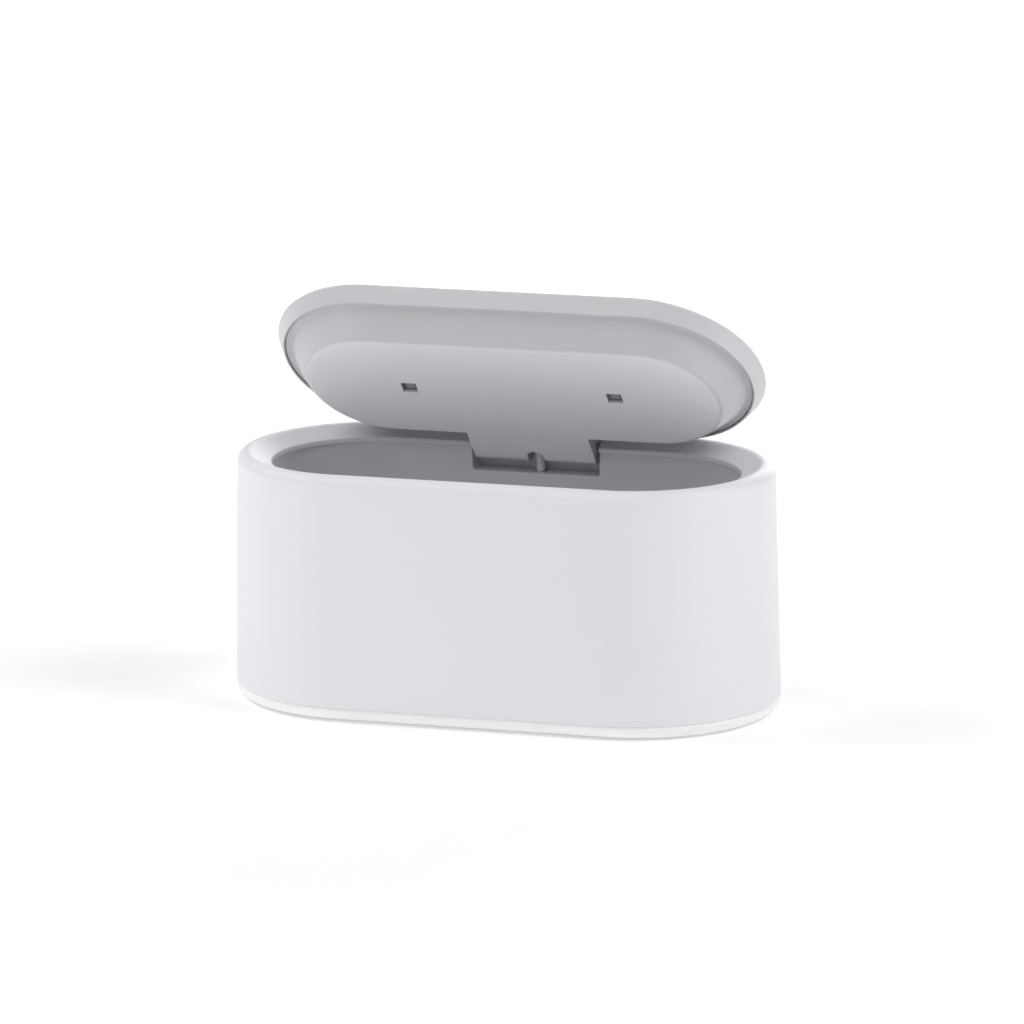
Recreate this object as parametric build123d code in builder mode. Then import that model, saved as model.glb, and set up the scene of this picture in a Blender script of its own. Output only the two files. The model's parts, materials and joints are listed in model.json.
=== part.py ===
from build123d import *
from math import atan, cos, degrees, radians, sin, tan
import os

os.makedirs("parts", exist_ok=True)

# Pacifier sterilizer case. Millimetres, +Z up, origin on the table under the middle of the case,
# +X to the right and the front towards -Y. The lid stands open, against the rear of the rim.

# ---------------------------------------------------------------- driving sizes
case_length = 120.0  # along X, at its widest, just above the base cover
case_depth = 60.5  # along Y; the two ends are half circles of this diameter
foot_stand = 0.4  # how far the rubber feet hold the base off the table
base_band = 2.6  # height of the base cover's visible band
base_round = 2.1  # round at the foot of that band
parting_chamfer = 0.3
opening_height = 51.05  # top of the lip round the opening
opening_inset = 8.4  # from the case outline in to the lip
lip_drop = 0.95  # height of the lip's upright face
rim_slope = 26.6  # degrees, how steeply the rim falls inwards
rim_round = 2.2  # round along the rim's crest
lip_round = 0.3  # round along the lip's top edge
wall_lean = 1.0  # how far the outer wall has leaned in when it reaches the rim
shell_wall = 2.0

tub_wall = 1.6
tub_lip_step = 0.5  # the liner stands back from the lip by this much
tub_lean = 0.7  # how far the liner leans in from its top to its floor
tub_corner = 7.0  # round between the liner's wall and floor, outside

open_angle = 47.0  # degrees from closed to the stop on the rear of the rim
pivot_inset = 5.89
pivot_drop = 0.6  # pivot below the top of the lip
barrel_radius = 3.38
swing_gap = 0.36  # barrel to the case behind it
tab_width = 27.3  # hinge tab of the lid
notch_side_gap = 0.75  # tab to each side of the notch
notch_depth = 5.75  # notch floor below the pivot
pin_radius = 1.0
pin_fit = 0.03  # running fit round each pin
pin_length = 13.4

lid_edge_inset = 7.55  # foot of the lid's side
lid_side_lean = 29.2  # degrees, how far the lid's side leans out going up
lid_thickness = 3.7  # from the foot of the side to the lid's top
lid_edge_round = 0.4
lid_top_wall = 1.45
lid_lip_width = 0.3  # narrow lower lip of the lid's side
ring_gap = 0.3  # groove between that lip and the ring inside it
ring_recess = 0.35  # how far the ring is set back from the lip
ring_height = 0.4  # the ring stands up by this much from the groove
plug_root_inset = 9.2
plug_foot_inset = 13.9
plug_depth = 5.71  # from the foot of the lid's side to the flat panel
plug_foot_round = 1.6
plug_root_round = 0.4
panel_wall = 1.7

window_x = 23.0  # two lamp windows, on the lid's centre line
window_width = 3.4
window_length = 3.3
window_recess = 0.65
lug_x = 22.8  # two small lugs of the lid's side that reach over the groove
lug_width = 3.8
lug_drop = 0.12  # below the lip
lug_reach = 0.35  # inwards from the lip

slot_x = 0.2  # slot in the barrel where the lead comes out
slot_width = 3.7
slot_lead_in = 2.26  # its round end, ahead of the pivot
lead_x = 0.36
lead_radius = 1.0

cover_wall = 2.0
board_gap = 2.6  # under the main board
board_wall = 1.0
plug_height = 3.2
underfloor_gap = 1.2  # connectors to the liner above them

fit_gap = 0.1  # between pieces that drop into each other

# ---------------------------------------------------------------- derived sizes
half_depth = case_depth / 2
end_x = (case_length - case_depth) / 2  # centres of the half circles
parting_height = foot_stand + base_band
cover_top = foot_stand + cover_wall
board_underside = cover_top + board_gap
board_top = board_underside + board_wall
plug_centre = board_top + plug_height / 2
tub_underside = board_top + plug_height + underfloor_gap
seat_height = opening_height - lip_drop  # under the rim, where the liner's top edge seats
wall_angle = degrees(atan(wall_lean / (opening_height - parting_height)))
rim_reach = opening_inset - wall_lean
rim_rise = rim_reach * tan(radians(rim_slope))  # lip to crest, before the crest is rounded
tub_inset = opening_inset - tub_lip_step
tub_outer_inset = tub_inset - tub_wall
tub_angle = degrees(atan(tub_lean / (seat_height - tub_underside)))
pivot_y = half_depth - pivot_inset
pivot_height = opening_height - pivot_drop
notch_floor = pivot_height - notch_depth
tab_half = tab_width / 2
notch_half = tab_half + notch_side_gap
pin_end = notch_half + (pin_length - notch_side_gap) / 2
pin_start = pin_end - pin_length
hinge_section = Plane(origin=(0, pivot_y, pivot_height), x_dir=(0, 1, 0), z_dir=(1, 0, 0))

# The lid's own frame: origin in the middle of the lid, level with the foot of its side,
# z towards the lid's top. It is turned about the hinge from closed to open.
barrel_drop = plug_depth - barrel_radius  # barrel centre below the foot of the side
lid_turn = radians(open_angle)
lid_middle_y = pivot_y - pivot_y * cos(lid_turn) + barrel_drop * sin(lid_turn)
lid_middle_z = pivot_height + pivot_y * sin(lid_turn) + barrel_drop * cos(lid_turn)
lid_origin = (0, lid_middle_y, lid_middle_z)
lid_plane = Plane(origin=lid_origin, x_dir=(1, 0, 0), z_dir=(0, sin(lid_turn), cos(lid_turn)))
lid_section = Plane(origin=lid_origin, x_dir=lid_plane.y_dir, z_dir=(1, 0, 0))
lid_up = Axis(lid_origin, lid_plane.z_dir)


def case_outline(inset, mode=Mode.ADD):
    """Plan of the case, drawn this far inside its widest outline."""
    SlotOverall(case_length - 2 * inset, case_depth - 2 * inset, mode=mode)


def mirrored_pair(x, y):
    """Two places, one on each side of the middle."""
    return Locations((x, y), (-x, y))


# ================================================================ case body
# ---------------------------------------------------------------- outer shell
groove_inner_inset = 5.2
groove_depth = 1.3
crest_spare = 0.4  # cut away above the sharp crest
funnel_spare = 1.5
stop_length = 2.6
stop_gap = 0.2
hinge_block = pin_end + 2 * stop_gap + stop_length  # half width of the solid rim round the hinge
usb_width = 8.94
usb_height = 3.26
usb_centre = board_top + usb_height / 2
usb_gap = 0.3

with BuildPart() as outer_shell:
    with BuildSketch(Plane.XY.offset(parting_height)):
        case_outline(0)
    extrude(amount=opening_height + rim_rise + crest_spare - parting_height, taper=wall_angle)
    # the funnel of the rim, then the upright lip
    with BuildSketch(Plane.XY.offset(opening_height)):
        case_outline(opening_inset)
    funnel_rise = (rim_reach + funnel_spare) * tan(radians(rim_slope))
    extrude(amount=funnel_rise, taper=rim_slope - 90, mode=Mode.SUBTRACT)
    with BuildSketch(Plane.XY.offset(seat_height)):
        case_outline(opening_inset)
    extrude(amount=lip_drop, mode=Mode.SUBTRACT)
    fillet(outer_shell.edges().group_by(Axis.Z)[-1], radius=rim_round)
    lip_low = opening_height - fit_gap
    lip_edges = outer_shell.edges().filter_by_position(Axis.Z, lip_low, lip_low + 2 * fit_gap)
    fillet(lip_edges, radius=lip_round)
    # hollow below the rim
    with BuildSketch(Plane.XY.offset(parting_height)):
        case_outline(shell_wall)
    extrude(amount=seat_height - parting_height, taper=wall_angle, mode=Mode.SUBTRACT)
    # coring groove under the crest, left out round the hinge
    with BuildSketch(Plane.XY.offset(seat_height)):
        case_outline(shell_wall + wall_lean)
        case_outline(groove_inner_inset, mode=Mode.SUBTRACT)
        with Locations((0, half_depth)):
            Rectangle(2 * hinge_block, half_depth, mode=Mode.SUBTRACT)
    extrude(amount=groove_depth, mode=Mode.SUBTRACT)
    # notch for the lid's hinge tab, hollowed behind to the barrel's round
    notch_radius = barrel_radius + swing_gap
    with BuildSketch(hinge_section):
        Circle(notch_radius)
        with Locations((0, notch_radius)):
            Rectangle(2 * notch_radius, 2 * notch_radius)
        with Locations((-pivot_y / 2, 0)):
            Rectangle(pivot_y, 4 * barrel_radius)
    extrude(amount=notch_half, both=True, mode=Mode.SUBTRACT)
    # bores for the pins, and the open channels that they are slid in along
    with BuildSketch(hinge_section):
        Circle(pin_radius)
    extrude(amount=pin_end, both=True, mode=Mode.SUBTRACT)
    for outward in (1, -1):
        with BuildSketch(hinge_section.offset(outward * pin_end)):
            Circle(pin_radius + fit_gap)
            with Locations((0, -pin_radius)):
                Rectangle(2 * (pin_radius + fit_gap), 2 * pin_radius)
        extrude(amount=outward * (pin_length + stop_length), mode=Mode.SUBTRACT)
    # charging port through the rear wall
    with BuildSketch(Plane.XZ.offset(-half_depth - shell_wall)):
        with Locations((0, usb_centre)):
            SlotOverall(usb_width + 2 * usb_gap, usb_height + 2 * usb_gap)
    extrude(amount=3 * shell_wall, mode=Mode.SUBTRACT)
    foot_face = outer_shell.faces().sort_by(Axis.Z)[0]
    chamfer(foot_face.outer_wire().edges(), length=parting_chamfer)
outer_shell.part.label = "outer_shell"
export_step(outer_shell.part, "parts/outer_shell.step")

# ---------------------------------------------------------------- inner tub
boss_pitch = 24.2  # between the base screws, across the case
boss_y = boss_pitch / 2
boss_x = end_x + boss_y
boss_radius = 3.0
screw_radius = 0.95
screw_grip = 5.0
screw_end_gap = 0.8
cover_boss_height = 2.0
cover_boss_top = cover_top + cover_boss_height
saddle_gap = 0.2
saddle_front = half_depth - tub_outer_inset - tub_wall / 2
saddle_back = half_depth - shell_wall - wall_lean - saddle_gap
shelf_wall = 1.6
notch_corner = 0.8
notch_edge_round = 0.35
lead_hole_offset = 0.9
lead_hole_y = pivot_y + lead_hole_offset
lead_hole_radius = 1.4
magnet_x = 26.0
magnet_length = 8.0
magnet_depth = 2.8
magnet_height = 3.2
magnet_headroom = 0.4
magnet_seat = seat_height - magnet_height - magnet_headroom
sensor_x = 17.0
sensor_board_width = 7.0
sensor_board_height = 9.0
sensor_board_wall = 0.8
sensor_board_foot = magnet_seat - sensor_board_height
rail_width = 1.0
rail_reach = 1.4
tub_front = tub_outer_inset - half_depth  # y of the liner's front wall, at the rim

with BuildPart() as inner_tub:
    with BuildSketch(Plane.XY.offset(seat_height)):
        case_outline(tub_outer_inset)
    extrude(amount=seat_height - tub_underside, dir=(0, 0, -1), taper=tub_angle)
    fillet(inner_tub.faces().sort_by(Axis.Z)[0].edges(), radius=tub_corner)
    offset(amount=-tub_wall, openings=inner_tub.faces().sort_by(Axis.Z)[-1])
    # behind the rear wall: the hinge shelf in the middle, a pin saddle at each side
    with BuildSketch(Plane.XY.offset(notch_floor - shelf_wall)):
        with Locations((0, (saddle_front + saddle_back) / 2)):
            Rectangle(2 * hinge_block, saddle_back - saddle_front)
    extrude(amount=seat_height - notch_floor + shelf_wall)
    with BuildSketch(Plane.XZ.offset(-case_depth)):
        with Locations((0, notch_floor + case_depth / 2)):
            RectangleRounded(2 * notch_half, case_depth, notch_corner)
    extrude(amount=case_depth, mode=Mode.SUBTRACT)
    notch_faces = inner_tub.faces().filter_by_position(Axis.Z, notch_floor - fit_gap, notch_floor + fit_gap)
    fillet(notch_faces.edges().sort_by(Axis.Y)[0], radius=notch_edge_round)
    with BuildSketch(hinge_section):
        Circle(pin_radius)
    extrude(amount=pin_end, both=True, mode=Mode.SUBTRACT)
    with BuildSketch(Plane.XY.offset(notch_floor)):
        with Locations((lead_x, lead_hole_y)):
            Circle(lead_hole_radius)
    extrude(amount=-2 * shelf_wall, mode=Mode.SUBTRACT)
    # stops that stand in the shell's channels and keep the pins from walking out
    with BuildSketch(Plane.XY.offset(seat_height)):
        with mirrored_pair(pin_end + stop_gap + stop_length / 2, pivot_y):
            Rectangle(stop_length, 2 * pin_radius)
    extrude(amount=pivot_height - seat_height)
    # bosses for the base screws
    with BuildSketch(Plane.XY.offset(cover_boss_top)):
        with GridLocations(2 * boss_x, 2 * boss_y, 2, 2):
            Circle(boss_radius)
    extrude(amount=tub_underside + tub_wall / 2 - cover_boss_top)
    with BuildSketch(Plane.XY.offset(cover_boss_top)):
        with GridLocations(2 * boss_x, 2 * boss_y, 2, 2):
            Circle(screw_radius)
    extrude(amount=screw_grip + screw_end_gap, mode=Mode.SUBTRACT)
    # on the front wall: seats for the magnets, rails for the sensor board
    with BuildSketch(Plane.XY.offset(magnet_seat)):
        with mirrored_pair(magnet_x, tub_front - (magnet_depth + fit_gap - tub_wall / 2) / 2):
            Rectangle(magnet_length + 2 * rail_width, magnet_depth + fit_gap + tub_wall / 2)
    extrude(amount=-shelf_wall)
    with BuildSketch(Plane.XY.offset(sensor_board_foot)):
        with Locations((sensor_x, tub_front - (rail_reach - tub_wall / 2) / 2)):
            with GridLocations(sensor_board_width + rail_width + 2 * fit_gap, 0, 2, 1):
                Rectangle(rail_width, rail_reach + tub_wall / 2)
    extrude(amount=sensor_board_height)
inner_tub.part.label = "inner_tub"
export_step(inner_tub.part, "parts/inner_tub.step")

# ---------------------------------------------------------------- base cover
skirt_wall = 1.2
skirt_height = 3.0
skirt_lean = wall_lean * skirt_height / (opening_height - parting_height)
skirt_outer_inset = shell_wall + fit_gap + skirt_lean
skirt_inner_inset = skirt_outer_inset + skirt_wall
foot_radius = 5.0
foot_pocket = 0.8
screw_head_radius = 1.9
screw_head_height = 1.2
standoff_radius = 2.6
board_edge_gap = 0.45
board_overhang = 2.25  # beyond the centre of each round end
board_length = 2 * (end_x + board_overhang)
board_front = 4.0
board_rear = half_depth - skirt_inner_inset - board_edge_gap
board_width = board_rear - board_front
board_screw_edge = 4.2
board_screw_radius = 0.8


def cover_screw_circles(radius):
    """A circle of this radius at each of the four base screws."""
    with GridLocations(2 * boss_x, 2 * boss_y, 2, 2):
        Circle(radius)


def board_screw_circles(radius, mode=Mode.ADD):
    """A circle of this radius at each of the four main board screws."""
    with Locations((0, (board_front + board_rear) / 2)):
        pitch_x = board_length - 2 * board_screw_edge
        pitch_y = board_width - 2 * board_screw_edge
        with GridLocations(pitch_x, pitch_y, 2, 2):
            Circle(radius, mode=mode)


with BuildPart() as base_cover:
    with BuildSketch(Plane.XY.offset(foot_stand)):
        case_outline(0)
    extrude(amount=base_band)
    fillet(base_cover.faces().sort_by(Axis.Z)[0].edges(), radius=base_round)
    chamfer(base_cover.faces().sort_by(Axis.Z)[-1].edges(), length=parting_chamfer)
    # tray inside the band, and the skirt that centres the shell
    with BuildSketch(Plane.XY.offset(cover_top)):
        case_outline(skirt_inner_inset)
    extrude(amount=base_band, mode=Mode.SUBTRACT)
    with BuildSketch(Plane.XY.offset(parting_height)):
        case_outline(skirt_outer_inset)
        case_outline(skirt_inner_inset, mode=Mode.SUBTRACT)
        with Locations((0, half_depth)):
            Rectangle(usb_width + skirt_height, half_depth / 2, mode=Mode.SUBTRACT)
    extrude(amount=skirt_height)
    # bosses for the base screws, standoffs for the board
    with BuildSketch(Plane.XY.offset(cover_top)):
        cover_screw_circles(boss_radius + fit_gap)
    extrude(amount=cover_boss_height)
    with BuildSketch(Plane.XY.offset(cover_top)):
        board_screw_circles(standoff_radius)
    extrude(amount=board_gap)
    with BuildSketch(Plane.XY.offset(board_underside)):
        board_screw_circles(board_screw_radius)
    extrude(amount=-board_gap, mode=Mode.SUBTRACT)
    # pockets for the feet, the screw heads above them, and the screw holes
    with BuildSketch(Plane.XY.offset(foot_stand)):
        cover_screw_circles(foot_radius)
    extrude(amount=foot_pocket, mode=Mode.SUBTRACT)
    with BuildSketch(Plane.XY.offset(foot_stand + foot_pocket)):
        cover_screw_circles(screw_head_radius + 2 * fit_gap)
    extrude(amount=screw_head_height, mode=Mode.SUBTRACT)
    with BuildSketch(Plane.XY.offset(foot_stand)):
        cover_screw_circles(screw_radius)
    extrude(amount=cover_boss_top, mode=Mode.SUBTRACT)
base_cover.part.label = "base_cover"
export_step(base_cover.part, "parts/base_cover.step")

# ---------------------------------------------------------------- feet and base screws
with BuildPart() as foot_pads:
    with BuildSketch():
        cover_screw_circles(foot_radius - fit_gap)
    extrude(amount=foot_stand + foot_pocket)
    chamfer(foot_pads.edges().group_by(Axis.Z)[0], length=foot_stand / 2)
foot_pads.part.label = "foot_pads"
export_step(foot_pads.part, "parts/foot_pads.step")

with BuildPart() as base_screws:
    with BuildSketch(Plane.XY.offset(foot_stand + foot_pocket)):
        cover_screw_circles(screw_head_radius)
    extrude(amount=screw_head_height)
    with BuildSketch(Plane.XY.offset(foot_stand + foot_pocket + screw_head_height)):
        cover_screw_circles(screw_radius)
    extrude(amount=cover_boss_top + screw_grip - foot_stand - foot_pocket - screw_head_height)
base_screws.part.label = "base_screws"
export_step(base_screws.part, "parts/base_screws.step")

# ---------------------------------------------------------------- hinge pins
with BuildPart() as hinge_pins:
    with BuildSketch(hinge_section.offset(pin_start), hinge_section.offset(-pin_end)):
        Circle(pin_radius)
    extrude(amount=pin_length)
hinge_pins.part.label = "hinge_pins"
export_step(hinge_pins.part, "parts/hinge_pins.step")

# ---------------------------------------------------------------- battery
battery_overhang = 7.0  # beyond the centre of the left round end
battery_side_inset = 6.25  # from the case's front
battery_left = -end_x - battery_overhang
battery_right = 8.0
battery_front = battery_side_inset - half_depth
battery_rear = 0.0
battery_height = 5.4
battery_round = 1.8
pad_height = 0.5
pad_margin = 3.0
battery_x = (battery_left + battery_right) / 2
battery_y = (battery_front + battery_rear) / 2
battery_length = battery_right - battery_left
battery_width = battery_rear - battery_front
battery_middle = cover_top + pad_height + battery_height / 2

with BuildPart() as battery_cell:
    with BuildSketch(Plane.XY.offset(cover_top + pad_height)):
        with Locations((battery_x, battery_y)):
            Rectangle(battery_length, battery_width)
    extrude(amount=battery_height)
    fillet(battery_cell.edges().filter_by(Axis.X), radius=battery_round)
battery_cell.part.label = "battery_cell"
export_step(battery_cell.part, "parts/battery_cell.step")

with BuildPart() as battery_pad:
    with BuildSketch(Plane.XY.offset(cover_top)):
        with Locations((battery_x, battery_y)):
            Rectangle(battery_length - 2 * pad_margin, battery_width - 2 * pad_margin)
    extrude(amount=pad_height)
battery_pad.part.label = "battery_pad"
export_step(battery_pad.part, "parts/battery_pad.step")

# ---------------------------------------------------------------- main board and what it carries
board_corner = 2.0
inductor_side = 6.0
inductor_height = 2.8
inductor_x = -19.0
control_side = 6.0
control_height = 0.9
control_x = -8.0
charge_length = 4.9
charge_width = 3.9
charge_height = 1.5
charge_x = 6.0
chip_bevel = 0.3
chip_row_inset = 11.0  # from the board's front edge
chip_row_y = board_front + chip_row_inset
capacitor_length = 2.0
capacitor_width = 1.25
capacitor_pitch = 4.0
plug_length = 5.6
plug_width = 4.0
plug_bevel = 0.3
plug_row_y = board_front + plug_width / 2
battery_plug_gap = 2.4  # battery to the middle of its plug
battery_plug_x = battery_right + battery_plug_gap
lead_plug_x = 13.0
lead_plug_inset = 9.4  # from the board's rear edge
lead_plug_y = board_rear - lead_plug_inset

with BuildPart() as main_board:
    with BuildSketch(Plane.XY.offset(board_underside)):
        with Locations((0, (board_front + board_rear) / 2)):
            RectangleRounded(board_length, board_width, board_corner)
        board_screw_circles(board_screw_radius, mode=Mode.SUBTRACT)
    extrude(amount=board_wall)
main_board.part.label = "main_board"
export_step(main_board.part, "parts/main_board.step")

with BuildPart() as board_screws:
    with BuildSketch(Plane.XY.offset(board_top)):
        board_screw_circles(2 * board_screw_radius)
    extrude(amount=board_screw_radius)
    with BuildSketch(Plane.XY.offset(board_top)):
        board_screw_circles(board_screw_radius)
    extrude(amount=cover_top - board_top)
board_screws.part.label = "board_screws"
export_step(board_screws.part, "parts/board_screws.step")

usb_length = 7.35
usb_set_back = 0.8  # mouth behind the widest outline of the case
usb_shell = 0.3
usb_tongue_width = 6.7
usb_tongue_height = 0.7
usb_mouth = Plane.XZ.offset(usb_set_back - half_depth)

with BuildPart() as usb_socket:
    with BuildSketch(usb_mouth):
        with Locations((0, usb_centre)):
            SlotOverall(usb_width, usb_height)
    extrude(amount=usb_length)
    with BuildSketch(usb_mouth):
        with Locations((0, usb_centre)):
            SlotOverall(usb_width - 2 * usb_shell, usb_height - 2 * usb_shell)
            Rectangle(usb_tongue_width, usb_tongue_height, mode=Mode.SUBTRACT)
    extrude(amount=usb_length - 2 * usb_shell, mode=Mode.SUBTRACT)
usb_socket.part.label = "usb_socket"
export_step(usb_socket.part, "parts/usb_socket.step")

with BuildPart() as control_chip:
    with BuildSketch(Plane.XY.offset(board_top)):
        with Locations((control_x, chip_row_y)):
            Rectangle(control_side, control_side)
    extrude(amount=control_height)
    chamfer(control_chip.edges().filter_by(Axis.Z), length=chip_bevel)
control_chip.part.label = "control_chip"
export_step(control_chip.part, "parts/control_chip.step")

with BuildPart() as charge_chip:
    with BuildSketch(Plane.XY.offset(board_top)):
        with Locations((charge_x, chip_row_y)):
            Rectangle(charge_length, charge_width)
    extrude(amount=charge_height)
    chamfer(charge_chip.faces().sort_by(Axis.Z)[-1].edges(), length=chip_bevel)
charge_chip.part.label = "charge_chip"
export_step(charge_chip.part, "parts/charge_chip.step")

with BuildPart() as power_inductor:
    with BuildSketch(Plane.XY.offset(board_top)):
        with Locations((inductor_x, chip_row_y)):
            RectangleRounded(inductor_side, inductor_side, chip_bevel * 3)
    extrude(amount=inductor_height)
power_inductor.part.label = "power_inductor"
export_step(power_inductor.part, "parts/power_inductor.step")

with BuildPart() as board_capacitors:
    with BuildSketch(Plane.XY.offset(board_top)):
        with Locations(((inductor_x + control_x) / 2, chip_row_y - control_side)):
            with GridLocations(capacitor_pitch, 0, 3, 1):
                Rectangle(capacitor_length, capacitor_width)
        with Locations((sensor_x + plug_length, chip_row_y)):
            with GridLocations(0, capacitor_pitch, 1, 3):
                Rectangle(capacitor_length, capacitor_width)
    extrude(amount=capacitor_width)
board_capacitors.part.label = "board_capacitors"
export_step(board_capacitors.part, "parts/board_capacitors.step")

with BuildPart() as board_connectors:
    with BuildSketch(Plane.XY.offset(board_top)):
        with Locations((battery_plug_x, plug_row_y), (sensor_x, plug_row_y)):
            Rectangle(plug_length, plug_width)
        with Locations((lead_plug_x, lead_plug_y)):
            Rectangle(plug_length, plug_width)
    extrude(amount=plug_height)
    chamfer(board_connectors.faces().group_by(Axis.Z)[-1].edges(), length=plug_bevel)
board_connectors.part.label = "board_connectors"
export_step(board_connectors.part, "parts/board_connectors.step")

wire_radius = 0.5
wire_pitch = 2.0
wire_bend = 1.1
wire_exit_inset = 4.5
wire_exit_y = battery_rear - wire_exit_inset
with BuildPart() as battery_leads:
    for row in (-1, 1):
        wire_x = battery_plug_x - row * wire_pitch / 2
        wire_y = wire_exit_y + row * wire_pitch / 2
        with BuildLine() as wire_path:
            FilletPolyline(
                (battery_right, wire_y, battery_middle),
                (wire_x, wire_y, battery_middle),
                (wire_x, battery_rear + wire_bend, plug_centre),
                (wire_x, board_front, plug_centre),
                radius=wire_bend,
            )
        with BuildSketch(Plane(origin=wire_path.line @ 0, z_dir=wire_path.line % 0)):
            Circle(wire_radius)
        sweep(path=wire_path.line)
battery_leads.part.label = "battery_leads"
export_step(battery_leads.part, "parts/battery_leads.step")

# ---------------------------------------------------------------- magnets and lid sensor
with BuildPart() as case_magnets:
    with BuildSketch(Plane.XY.offset(magnet_seat)):
        with mirrored_pair(magnet_x, tub_front - fit_gap - magnet_depth / 2):
            Rectangle(magnet_length, magnet_depth)
    extrude(amount=magnet_height)
    chamfer(case_magnets.edges().filter_by(Axis.Z), length=chip_bevel)
case_magnets.part.label = "case_magnets"
export_step(case_magnets.part, "parts/case_magnets.step")

sensor_width = 3.0
sensor_length = 1.6
sensor_height = 1.1
sensor_board_face = tub_front - fit_gap - sensor_board_wall  # y of its outward face
with BuildPart() as sensor_board:
    with BuildSketch(Plane.XZ.offset(-tub_front + fit_gap)):
        with Locations((sensor_x, sensor_board_foot + sensor_board_height / 2)):
            Rectangle(sensor_board_width, sensor_board_height)
    extrude(amount=sensor_board_wall)
sensor_board.part.label = "sensor_board"
export_step(sensor_board.part, "parts/sensor_board.step")

with BuildPart() as lid_sensor:
    with BuildSketch(Plane.XZ.offset(-sensor_board_face)):
        with Locations((sensor_x, sensor_board_foot + sensor_board_height - sensor_length)):
            Rectangle(sensor_width, sensor_length)
    extrude(amount=sensor_height)
    chamfer(lid_sensor.faces().sort_by(Axis.Y)[0].edges(), length=chip_bevel / 2)
lid_sensor.part.label = "lid_sensor"
export_step(lid_sensor.part, "parts/lid_sensor.step")

ribbon_wall = 0.5
ribbon_width = 3.0
ribbon_bend = 4.0
ribbon_y = sensor_board_face - ribbon_wall / 2
ribbon_top = sensor_board_foot + sensor_board_height / 4
with BuildPart() as sensor_lead:
    with BuildLine(Plane.YZ.offset(sensor_x)) as ribbon_path:
        FilletPolyline(
            (ribbon_y, ribbon_top),
            (ribbon_y, plug_centre),
            (board_front, plug_centre),
            radius=ribbon_bend,
        )
    with BuildSketch(Plane.XY.offset(ribbon_top)):
        with Locations((sensor_x, ribbon_y)):
            Rectangle(ribbon_width, ribbon_wall)
    sweep(path=ribbon_path.line)
sensor_lead.part.label = "sensor_lead"
export_step(sensor_lead.part, "parts/sensor_lead.step")

# ================================================================ lid
# ---------------------------------------------------------------- lid shell
ceiling = lid_thickness - lid_top_wall
rebate_inset = lid_edge_inset + lid_lip_width
edge_y = lid_edge_inset - half_depth  # front foot of the lid's side

with BuildPart() as lid_shell:
    with BuildSketch(lid_plane):
        case_outline(lid_edge_inset)
    extrude(amount=lid_thickness, taper=-lid_side_lean)
    fillet(lid_shell.faces().sort_by(lid_up)[-1].edges(), radius=lid_edge_round)
    with BuildSketch(lid_plane):
        case_outline(rebate_inset)
    extrude(amount=ceiling, mode=Mode.SUBTRACT)
    # room for the barrel
    with BuildSketch(lid_section):
        with Locations((pivot_y, -barrel_drop)):
            Circle(barrel_radius + fit_gap / 2)
    extrude(amount=tab_half + fit_gap, both=True, mode=Mode.SUBTRACT)
    # lugs at the front, flush with the lid's side
    lug_foot_y = edge_y + lug_drop * tan(radians(lid_side_lean))
    lug_end_y = rebate_inset + lug_reach - half_depth
    for side in (1, -1):
        with BuildSketch(lid_section.offset(side * lug_x)):
            with BuildLine():
                Polyline(
                    (edge_y, 0),
                    (lug_foot_y, -lug_drop),
                    (lug_end_y, -lug_drop),
                    (lug_end_y, 0),
                    close=True,
                )
            make_face()
        extrude(amount=lug_width / 2, both=True)
lid_shell.part.label = "lid_shell"
export_step(lid_shell.part, "parts/lid_shell.step")

# ---------------------------------------------------------------- lid panel, plug, hinge tab
flange_inset = rebate_inset + ring_gap
flange_y = half_depth - flange_inset
plug_slope = degrees(atan((plug_foot_inset - plug_root_inset) / (plug_depth + ring_recess)))
panel_inside = plug_depth - panel_wall  # depth of the panel's inner face
cavity_margin = 1.0
cavity_inset = plug_root_inset + cavity_margin
tab_root_reach = 3.5  # the tab starts this far inside the flat panel
tab_front = half_depth - plug_foot_inset - tab_root_reach
core_width = 8.0
core_rear = pivot_y - barrel_radius
channel_width = 3.2
lead_sink = 0.09  # the lead runs into the barrel this far below its middle
channel_z = -barrel_drop - lead_sink
slot_top = channel_z + channel_width / 2
glass_side = 5.2
glass_gap = 0.05
glass_wall = panel_wall - window_recess
lamp_side = 3.5
lamp_height = 1.2
lamp_gap = 0.4
lamp_board_foot = lamp_height + lamp_gap - panel_inside
lamp_board_wall = 1.0
lamp_board_top = lamp_board_foot + lamp_board_wall
post_x = 14.0
post_radius = 2.0
post_hole_depth = 2.4
magnet_set_back = 1.25  # inside the edge of the flat panel
lid_magnet_y = half_depth - plug_foot_inset - magnet_set_back
lid_magnet_height = 2.6
magnet_lift = 1.0  # above the panel's inner face
lid_magnet_foot = magnet_lift - panel_inside
magnet_boss_wall = 0.6
seam_overlap = 0.02  # how far joined forms run into each other

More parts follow.
